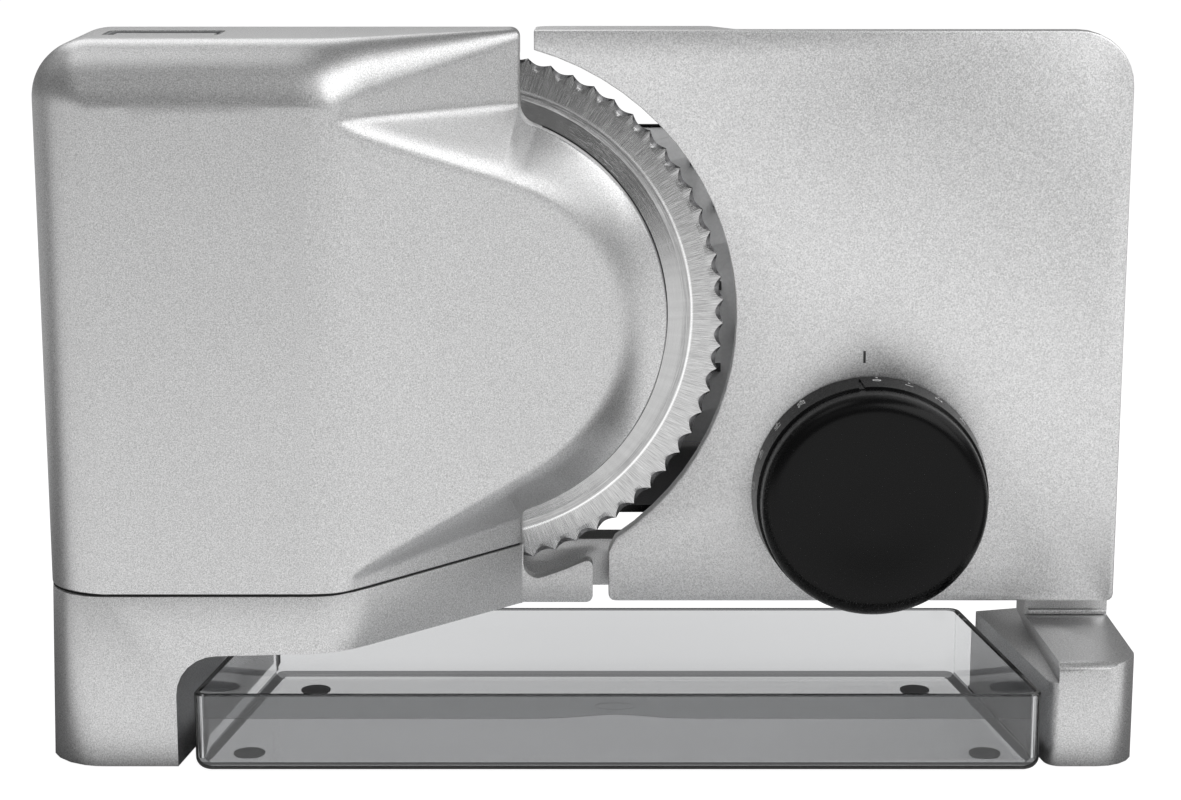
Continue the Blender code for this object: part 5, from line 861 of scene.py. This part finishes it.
def make_blade():
    """The blade: pointed teeth with a hollow between each two, a plain band, a cone, a step and a dish."""
    count = TEETH * TOOTH_STEPS
    edge = BLADE_RADIUS + BLADE_GROWTH
    thin = BLADE_BACK - EDGE_THICKNESS
    hollow = SCALLOP_DEPTH + HOLLOW_WIDTH
    step = -BEVEL_DEPTH - STEP_RISE
    # Radius, place along the axis, depth of the scallops and sharpness of their points
    sections = [
        (edge, thin, SCALLOP_DEPTH, 1),
        (edge - EDGE_CHAMFER, -HOLLOW_RISE, hollow, HOLLOW_SHARPNESS),
        (edge - TOOTH_BAND, -HOLLOW_RISE - BAND_RISE, 0, 1),
        (edge - TOOTH_BAND - BAND_END, -HOLLOW_RISE - BAND_END_RISE, 0, 1),
        (BEVEL_RADIUS, -BEVEL_DEPTH, 0, 1),
        (BEVEL_RADIUS - STEP_WIDTH / 2, step, 0, 1),
        (BEVEL_RADIUS - STEP_WIDTH, step, 0, 1),
        (DISH_RADIUS, -DISH_HEIGHT, 0, 1),
        (DISH_RADIUS - DISH_WIDTH, -BEVEL_DEPTH, 0, 1),
        (BORE_RADIUS, -BEVEL_DEPTH, 0, 1),
        (BORE_RADIUS, BLADE_BACK, 0, 1),
        (edge - BACK_GRIND, BLADE_BACK, 0, 1),
        (edge, BLADE_BACK, SCALLOP_DEPTH, 1),
    ]
    rings = []
    for radius, y, depth, sharpness in sections:
        ring = []
        for i in range(count):
            dip = depth * abs(math.sin(math.pi * i / TOOTH_STEPS)) ** sharpness
            turn = TOOTH_TURN + 2 * math.pi * i / count
            ring.append(((radius - dip) * math.cos(turn), y, AXIS + (radius - dip) * math.sin(turn)))
        rings.append(ring)
    disc = lofted(rings, looped=True)
    put(disc, "blade_disc", "blade_drive", "blade_steel", BLADE, "blade", sharp=BLADE_SHARP_ANGLE)
    # The hollows between the teeth get the darker steel of painted shade
    finish_some(disc, HOLLOW_PAINTED_SHADE, lambda face: face.index < count)


# The knob

KNOB_COLLAR = 0.0110
KNOB_STEP = 0.0006
KNOB_ROUND = 0.0052
KNOB_FLOOR = 0.0036
KNOB_WALL = 0.0026
KNOB_RIM_BREAK, KNOB_STEP_BREAK, KNOB_GRIP_BREAK = 0.0004, 0.0003, 0.0002
KNOB_ROUND_STEPS, DISH_STEPS, KNOB_SIDES = 12, 16, 192
DISH_DEPTH = 0.0017
DISH_RUN = 0.0240
SCALE_START = math.radians(88)
SCALE_STEP = math.radians(16.05)
SCALE_LAST = 20
DIGIT_SIZE = 0.0041
DIGIT_PLACE = 0.0040
DIGIT_CURVE_STEPS = 3
DOT_PLACE = 0.0013
DOT_SIZE = 0.0007
PRINT_HEIGHT = 0.00005
NOTCH_TURN = math.radians(96.5)
NOTCH_LENGTH = 0.0085
NOTCH_WIDTH = 0.0022
NOTCH_DEPTH = 0.0005
KNOB_RADIUS = (KNOB_HIGH.x - KNOB_LOW.x) / 2
KNOB_X, KNOB_HEIGHT = (KNOB_LOW.x + KNOB_HIGH.x) / 2, (KNOB_LOW.z + KNOB_HIGH.z) / 2
KNOB_FACE = KNOB_RADIUS * 0.943
KNOB_GRIP = KNOB_RADIUS - KNOB_STEP - (KNOB_RADIUS - KNOB_FACE) / 2


def skirt_point(turn, along, lift):
    """A point on the knob's skirt: TURN round it, ALONG it from the plate, LIFT proud of it."""
    share = along / KNOB_COLLAR
    radius = KNOB_RADIUS + (KNOB_GRIP + KNOB_STEP - KNOB_RADIUS) * share + lift
    return (KNOB_X + radius * math.cos(turn), KNOB_HIGH.y - along, KNOB_HEIGHT + radius * math.sin(turn))


def skirt_patch(turn, along, low, high, corners):
    """A thin plate LOW to HIGH proud of the skirt, with CORNERS in (round, along) about its place."""
    return lofted(
        [[skirt_point(turn + u / KNOB_RADIUS, along + v, lift) for u, v in corners] for lift in (low, high)]
    )


def make_knob():
    """The knob's cup: a skirt with a pointer's notch, a step, a round edge and a dished front."""
    base, front = KNOB_HIGH.y, KNOB_LOW.y
    face, grip = KNOB_FACE, KNOB_GRIP
    step = base - KNOB_COLLAR
    inner = face - KNOB_WALL
    profile = [(inner, base), (KNOB_RADIUS - KNOB_RIM_BREAK, base), (KNOB_RADIUS, base - KNOB_RIM_BREAK)]
    profile += [(grip + KNOB_STEP, step + KNOB_STEP_BREAK), (grip + KNOB_STEP - KNOB_STEP_BREAK, step)]
    profile += [(grip, step), (grip - KNOB_GRIP_BREAK, step - KNOB_GRIP_BREAK), (face, front + KNOB_ROUND)]
    for i in range(1, KNOB_ROUND_STEPS + 1):
        lean = math.pi / 2 * i / KNOB_ROUND_STEPS
        profile.append((face - KNOB_ROUND * (1 - math.cos(lean)), front + KNOB_ROUND * (1 - math.sin(lean))))
    for i in range(1, DISH_STEPS + 1):
        share = i / DISH_STEPS
        profile.append((face - KNOB_ROUND - DISH_RUN * share, front + DISH_DEPTH * soft_step(share)))
    profile += [(0, front + DISH_DEPTH), (0, front + KNOB_FLOOR), (inner, front + KNOB_FLOOR)]
    cup = turned(profile, (KNOB_X, 0, KNOB_HEIGHT), "y", KNOB_SIDES)
    half = NOTCH_WIDTH / 2
    wedge = [(-half / 4, -NOTCH_LENGTH), (half / 4, -NOTCH_LENGTH), (half, OVERLAP), (-half, OVERLAP)]
    cut(cup, skirt_patch(NOTCH_TURN, KNOB_COLLAR, -NOTCH_DEPTH, OVERLAP, wedge))
    put(cup, "knob_cup", "knob", "black_plastic", BLACK, "thickness_knob")


def make_scale():
    """The printed numbers round the skirt, each turned on its side, with a dot beside it."""
    square = rectangle(-DOT_SIZE / 2, DOT_SIZE / 2, -DOT_SIZE / 2, DOT_SIZE / 2)
    for number in range(SCALE_LAST + 1):
        turn = SCALE_START - SCALE_STEP * number
        name = f"number_{number}"
        curve = bpy.data.curves.new(name, "FONT")
        curve.body = str(number)
        curve.size = DIGIT_SIZE
        curve.align_x, curve.align_y = "CENTER", "CENTER"
        curve.extrude = PRINT_HEIGHT
        curve.resolution_u = DIGIT_CURVE_STEPS
        writing = new_object(curve, name)
        evaluated = writing.evaluated_get(bpy.context.evaluated_depsgraph_get())
        mesh = bpy.data.meshes.new_from_object(evaluated)
        bpy.data.objects.remove(writing)
        for vertex in mesh.vertices:
            u, v, w = vertex.co
            vertex.co = skirt_point(turn + v / KNOB_RADIUS, DIGIT_PLACE - u, w)
        put(new_object(mesh, name), name, "knob", None, INK)
        dot = skirt_patch(turn, DOT_PLACE, -PRINT_HEIGHT, PRINT_HEIGHT, square)
        put(dot, f"scale_dot_{number}", "knob", None, INK)


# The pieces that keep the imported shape, with softened edges

MERGE_DISTANCE = 0.000002
FLAT_ANGLE = math.radians(0.6)


def refined(node, width, segments=3, cutters=()):
    """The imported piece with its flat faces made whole, CUTTERS taken off and its edges rounded by WIDTH."""
    work = bmesh.new()
    work.from_mesh(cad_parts[node].data)
    bmesh.ops.remove_doubles(work, verts=work.verts, dist=MERGE_DISTANCE)
    bmesh.ops.dissolve_limit(work, angle_limit=FLAT_ANGLE, verts=work.verts, edges=work.edges)
    mesh = bpy.data.meshes.new("refined")
    work.to_mesh(mesh)
    work.free()
    piece = new_object(mesh, "refined")
    mesh.transform(Matrix.Translation(-ORIGIN))
    cut(piece, *cutters)
    edge = piece.modifiers.new("soft_edge", "BEVEL")
    edge.width = width
    edge.segments = segments
    edge.limit_method = "ANGLE"
    edge.angle_limit = SHARP_ANGLE
    edge.miter_outer = "MITER_ARC"
    edge.use_clamp_overlap = True
    return settled(piece)


BASE_EDGE, PLATE_EDGE, HOLDER_EDGE = 0.0006, 0.0009, 0.0002
RIDGE_LEFT, RIDGE_CUT_MARGIN, RIDGE_CUT_TOP = 0.1886, 0.005, 0.0420
RIDGE_FRONT_PLACE, RIDGE_FRONT_TOP = -0.0585, 0.0344
RIDGE_BACK_PLACE, RIDGE_BACK_TOP = 0.0010, 0.0318
FOOT_LIP_DEPTH, FOOT_LIP_RISE, FOOT_LIP_GAP = 0.0014, 0.0015, 0.0006
FOOT_LIP_ROUND, FOOT_LIP_END = FOOT_LIP_DEPTH * 0.7, 0.0004
PANEL_THICKNESS = 0.003
PANEL_RIGHT = 0.0800
# Height and proudness of the black strip of painted shadow along the holder's top
TOP_SHADOW_LINE, TOP_SHADOW_PROUD = 0.0009, 0.0003
TOP_FACE_DEPTH = 4 * PRINT_HEIGHT
SPIKE_LENGTH = 0.0045
SPIKE_FACE_AREA = 0.000012
MARK_X, MARK_LOW, MARK_HIGH, MARK_WIDTH = 0.13115, 0.1194, 0.1234, 0.0008


def make_base():
    """The base with softened edges, its right foot's ridge brought down, and a lip at the ridge's back."""
    over = [(RIDGE_FRONT_PLACE, RIDGE_FRONT_TOP), (RIDGE_BACK_PLACE, RIDGE_BACK_TOP)]
    over += [(RIDGE_BACK_PLACE, RIDGE_CUT_TOP), (RIDGE_FRONT_PLACE, RIDGE_CUT_TOP)]
    above_ridge = prism(over, RIDGE_LEFT - RIDGE_CUT_MARGIN, BASE_RIGHT + OVERLAP, "x")
    base = refined("base", BASE_EDGE, cutters=[above_ridge])
    put(base, "base_casting", "frame", "silver_paint", SILVER, "base")
    corners = rectangle(-FOOT_LIP_DEPTH, OVERLAP, 0, FOOT_LIP_RISE)
    lip = rounded_outline(corners, [0, 0, 0, FOOT_LIP_ROUND], 6)
    lip = [(RIDGE_BACK_PLACE + y, RIDGE_BACK_TOP + FOOT_LIP_GAP + z) for y, z in lip]
    lip = prism(lip, RIDGE_LEFT, BASE_RIGHT - FOOT_LIP_END, "x")
    put(lip, "foot_lip", "frame", "silver_paint", SILVER)


def make_plate():
    """The stop plate with softened edges."""
    plate = refined("stop_plate", PLATE_EDGE)
    put(plate, "stop_plate_pressing", "plate", "silver_paint", PLATE_SILVER, "stop_plate")


def make_holder():
    """The food holder's panel, with painted shade on its spikes and upper face, and a black strip of painted
    shadow along its top.
    """
    holder = refined("food_holder", HOLDER_EDGE, 2)
    front, top = HOLDER_HIGH.y - PANEL_THICKNESS, HOLDER_HIGH.z
    # A black strip of painted shadow along the panel's top edge
    strip = rectangle(HOLDER_LOW.x + OVERLAP, PANEL_RIGHT, top - TOP_SHADOW_LINE, top)
    top_shadow_strip = prism(strip, front - TOP_SHADOW_PROUD, front + OVERLAP, "y")
    put(top_shadow_strip, "holder_top_painted_shadow", "holder", None, BLACK)
    put(holder, "holder_panel", "holder", "holder_plastic", HOLDER, "food_holder")

    # Painted shade: the spikes and the panel's upper face get the dark finish
    def dark(face):
        middle = face.center - ORIGIN
        in_spikes = front - SPIKE_LENGTH < middle.y < front - SPIKE_LENGTH / 6
        on_top = face.normal.z > 0.5 and middle.z > top - TOP_FACE_DEPTH
        return (in_spikes and face.area < SPIKE_FACE_AREA) or on_top

    finish_some(holder, HOLDER_PAINTED_SHADE, dark)


def make_plate_mark():
    """The short printed line above the knob, which its scale is read against."""
    mark = rectangle(MARK_X - MARK_WIDTH / 2, MARK_X + MARK_WIDTH / 2, MARK_LOW, MARK_HIGH)
    mark = prism(mark, PLATE_FRONT - PRINT_HEIGHT, PLATE_FRONT + PRINT_HEIGHT, "y")
    put(mark, "plate_mark", "plate", None, DARK_INK)


# The tray

TRAY_CORNER = 0.004
TRAY_WALL = 0.0020
TRAY_RIM_ROUND = TRAY_WALL / 4
TRAY_FOOT_ROUND = 0.0046
TRAY_FOOT_STEPS = 8
TRAY_TAPER = 0.158 * (TRAY_HIGH.y - TRAY_LOW.y)
TRAY_FLOOR_HEIGHT = 0.0006
TRAY_INNER_FACE = TRAY_LOW.y + TRAY_WALL
TRAY_PAD_RADIUS = 0.005
TRAY_PAD_INSET = 0.016
TRAY_PAD_BREAK = TRAY_PAD_RADIUS / 16
TRAY_PAD_SIDES = 48
TRAY_BAND = 0.0082
TRAY_BAND_RISE = 0.0013
TRAY_BAND_STEPS = 60
TRAY_BAND_FRONT, TRAY_BAND_BACK = 0.0001, 0.0007
TRAY_GRIP_X = 0.0500
TRAY_GRIP_HEIGHT = 0.0222
TRAY_GRIP_WIDTH = 0.013
TRAY_GRIP_DEPTH = 0.0008
TRAY_GRIP_FLATNESS = 0.16
TRAY_GRIP_SIDES = 64
# Shares of half the thumb mark's width and of its depth
TRAY_GRIP_PROFILE = ((0, -1), (0.35, -0.9), (0.7, -0.55), (1, 0), (1, 1), (0, 1))
# The thick, darker edges: faces turned outwards in the foot's round, and the rim
THICK_TURN = 0.2
THICK_FOOT = TRAY_FLOOR_HEIGHT + TRAY_FOOT_ROUND * 0.8
THICK_RIM = TRAY_HIGH.z - TRAY_WALL / 3


def tray_ring(inset, height):
    """The tray's rounded and tapered outline at one height, pulled in by INSET."""
    corners = [
        (TRAY_LOW.x + inset, TRAY_LOW.y + inset),
        (TRAY_HIGH.x - inset, TRAY_LOW.y + inset),
        (TRAY_HIGH.x - TRAY_TAPER - inset, TRAY_HIGH.y - inset),
        (TRAY_LOW.x + TRAY_TAPER + inset, TRAY_HIGH.y - inset),
    ]
    radius = max(TRAY_CORNER - inset / 2, TRAY_WALL / 2)
    return [(x, y, height) for x, y in rounded_outline(corners, [radius] * 4, 8)]


def tray_levels():
    """The insets and heights of the shell's rings: up the outside, over the rim and down the inside."""
    rim, foot = TRAY_HIGH.z, TRAY_FLOOR_HEIGHT + TRAY_FOOT_ROUND
    levels = []
    for thickness, soft in ((0, TRAY_RIM_ROUND), (TRAY_WALL, -TRAY_RIM_ROUND)):
        radius = TRAY_FOOT_ROUND - thickness
        side = [(thickness + soft, rim), (thickness, rim - TRAY_RIM_ROUND)]
        for step in range(TRAY_FOOT_STEPS + 1):
            lean = math.pi / 2 * step / TRAY_FOOT_STEPS
            side.append((TRAY_FOOT_ROUND - radius * math.cos(lean), foot - radius * math.sin(lean)))
        levels += side[::-1] if soft > 0 else side
    return levels


def make_tray():
    """The clear tray with its thumb mark, the darker double wall behind it and four pads underneath."""
    tray = lofted([tray_ring(inset, height) for inset, height in tray_levels()])
    lens = [(out * TRAY_GRIP_WIDTH / 2, deep * TRAY_GRIP_DEPTH) for out, deep in TRAY_GRIP_PROFILE]
    lens = turned(lens, (0, 0, 0), "y", TRAY_GRIP_SIDES)
    lens.data.transform(Matrix.Diagonal((1, 1, TRAY_GRIP_FLATNESS, 1)))
    lens.data.transform(Matrix.Translation((TRAY_GRIP_X, TRAY_INNER_FACE, TRAY_GRIP_HEIGHT)))
    boolean(tray, lens, "UNION")
    put(tray, "tray_shell", "tray", "smoke_clear", SMOKE, "collecting_tray")

    def thick(face):
        side, height = face.normal, face.center.z
        turned_out = abs(side.x) + abs(side.y) > THICK_TURN and side.y < THICK_TURN
        return (turned_out and height < THICK_FOOT) or height > THICK_RIM

    finish_some(tray, SMOKE_THICK, thick)
    rim = TRAY_HIGH.z
    low, high = TRAY_LOW.x + TRAY_WALL * 2, TRAY_HIGH.x - TRAY_WALL * 2
    band = [(low, rim - TRAY_RIM_ROUND), (high, rim - TRAY_RIM_ROUND)]
    for step in range(TRAY_BAND_STEPS + 1):
        x = high + (low - high) * step / TRAY_BAND_STEPS
        rise = math.exp(-(((x - TRAY_GRIP_X) / TRAY_GRIP_WIDTH) ** 2)) * TRAY_BAND_RISE
        band.append((x, rim - TRAY_BAND + rise))
    band = prism(band, TRAY_INNER_FACE + TRAY_BAND_FRONT, TRAY_INNER_FACE + TRAY_BAND_BACK, "y")
    put(band, "tray_grip_band", "tray", None, SMOKE_BAND)
    top, flat = TRAY_FLOOR_HEIGHT + TRAY_PAD_BREAK, TRAY_PAD_RADIUS - TRAY_PAD_BREAK
    pad = [(0, 0), (flat, 0), (TRAY_PAD_RADIUS, TRAY_PAD_BREAK), (TRAY_PAD_RADIUS, top), (0, top)]
    places = []
    for y, shift in ((TRAY_LOW.y + TRAY_PAD_INSET, 0), (TRAY_HIGH.y - TRAY_PAD_INSET, TRAY_TAPER)):
        inset = TRAY_PAD_INSET + shift
        places += [(x, y) for x in (TRAY_LOW.x + inset, TRAY_HIGH.x - inset)]
    for number, (x, y) in enumerate(places):
        # The pads take the dark grey of painted shade
        put(turned(pad, (x, y, 0), "z", TRAY_PAD_SIDES), f"tray_pad_{number}", "tray", None, SMOKE_PAD_PAINTED_SHADE)


# The room: floor, lamps and camera

FLOOR_COLOUR = (0.21, 0.21, 0.21)
FLOOR_ROUGHNESS = 0.9
FLOOR_REACH, FLOOR_THICKNESS = 6.0, 0.01
WORLD_LEVEL = 0.20
# The floor's glow to the camera, through the tray and in metal, and where along y it changes: painted shadow
# makes it dimmer under the tray, close in front of the slicer and behind it
FLOOR_GLOW = 0.98
TRAY_GLOW = 0.84
TRAY_SHADOW = (0.040, 0.075)
GLOSSY_GLOW = 0.92
FRONT_SHADOW = (-0.078, -0.060)
BACK_GLOW = 0.42
BACK_SHADOW = (0.10, 0.30)
# Each lamp's name, place, size and power
LAMPS = (
    ("key", (0.85, -0.80, 1.0), (1.3, 1.0), 8.8),
    ("front", (-0.30, -1.0, 1.1), (1.2, 0.7), 0.6),
    ("left", (-1.0, 0.35, 1.1), (0.8, 0.8), 0.4),
    ("right", (1.09, 0.19, 0.97), (0.8, 0.8), 2.8),
    ("top", (-0.45, 0.0, 1.35), (0.8, 0.6), 1.5),
    ("back", (-0.4, 1.1, 1.2), (1.0, 0.8), 4.0),
)
LAMP_TARGET = Vector((0, 0, 0.11))


def stage_material():
    """A grey floor that glows: white to the camera, dimmer through the tray and in metal, with painted shadow
    near the slicer.
    """
    made = Finish("pale_floor", FLOOR_COLOUR, FLOOR_ROUGHNESS)
    made.set("Emission Color", (1, 1, 1, 1))
    paths = made.node("ShaderNodeLightPath").outputs
    y = made.offset(ORIGIN)["Y"]
    # Painted shadow in metal: the glow fades out close in front of the slicer and is weaker behind it
    front = made.spread(y, GLOSSY_GLOW, 0, *FRONT_SHADOW)
    behind = made.spread(y, 0, BACK_GLOW, *BACK_SHADOW)
    from_tray = made.calculate("ABSOLUTE", made.sum(y, -(TRAY_LOW.y + TRAY_HIGH.y) / 2))
    # Painted shadow through the tray: the glow is dimmer under it
    under = made.spread(from_tray, TRAY_GLOW, FLOOR_GLOW, *TRAY_SHADOW)
    glow = made.product(paths["Is Camera Ray"], FLOOR_GLOW)
    glow = made.larger(glow, made.product(paths["Is Transmission Ray"], under))
    glow = made.larger(glow, made.product(paths["Is Glossy Ray"], made.sum(front, behind)))
    made.feed("Emission Strength", glow)
    return made.material


def make_floor():
    outline = rectangle(-FLOOR_REACH, FLOOR_REACH, -FLOOR_REACH, FLOOR_REACH)
    floor = prism(outline, -FLOOR_THICKNESS, 0, "z")
    floor.name = "floor"
    floor.data.materials.append(stage_material())


def make_world():
    """A world that is white to the camera and dim to everything else."""
    world = bpy.data.worlds.new("studio")
    bpy.context.scene.world = world
    world.use_nodes = True
    tree = world.node_tree
    background = tree.nodes["Background"]
    background.inputs["Color"].default_value = (1, 1, 1, 1)
    paths = tree.nodes.new("ShaderNodeLightPath")
    level = tree.nodes.new("ShaderNodeMapRange")
    level.inputs["To Min"].default_value = WORLD_LEVEL
    level.inputs["To Max"].default_value = 1.0
    tree.links.new(paths.outputs["Is Camera Ray"], level.inputs["Value"])
    tree.links.new(level.outputs["Result"], background.inputs["Strength"])


def make_lamps():
    """The area lamps, all turned towards the slicer."""
    for name, place, size, power in LAMPS:
        light = bpy.data.lights.new(name, "AREA")
        light.shape = "RECTANGLE"
        light.size, light.size_y = size
        light.energy = power
        lamp = new_object(light, name)
        lamp.location = Vector(place)
        lamp.rotation_mode = "QUATERNION"
        lamp.rotation_quaternion = (LAMP_TARGET - lamp.location).to_track_quat("-Z", "Y")


def make_camera():
    data = bpy.data.cameras.new("camera")
    data.lens = LENS
    data.sensor_width = SENSOR
    data.sensor_fit = "HORIZONTAL"
    camera = new_object(data, "camera")
    camera.location = CAMERA_PLACE + ORIGIN
    camera.rotation_euler = (CAMERA_TILT, 0, 0)
    bpy.context.scene.camera = camera


def main():
    make_camera()
    make_world()
    make_lamps()
    make_floor()
    finish_nodes()
    make_housing()
    make_gaskets()
    make_blade()
    make_knob()
    make_scale()
    make_base()
    make_plate()
    make_holder()
    make_plate_mark()
    make_tray()
    bpy.context.scene.view_settings.view_transform = "Standard"


main()
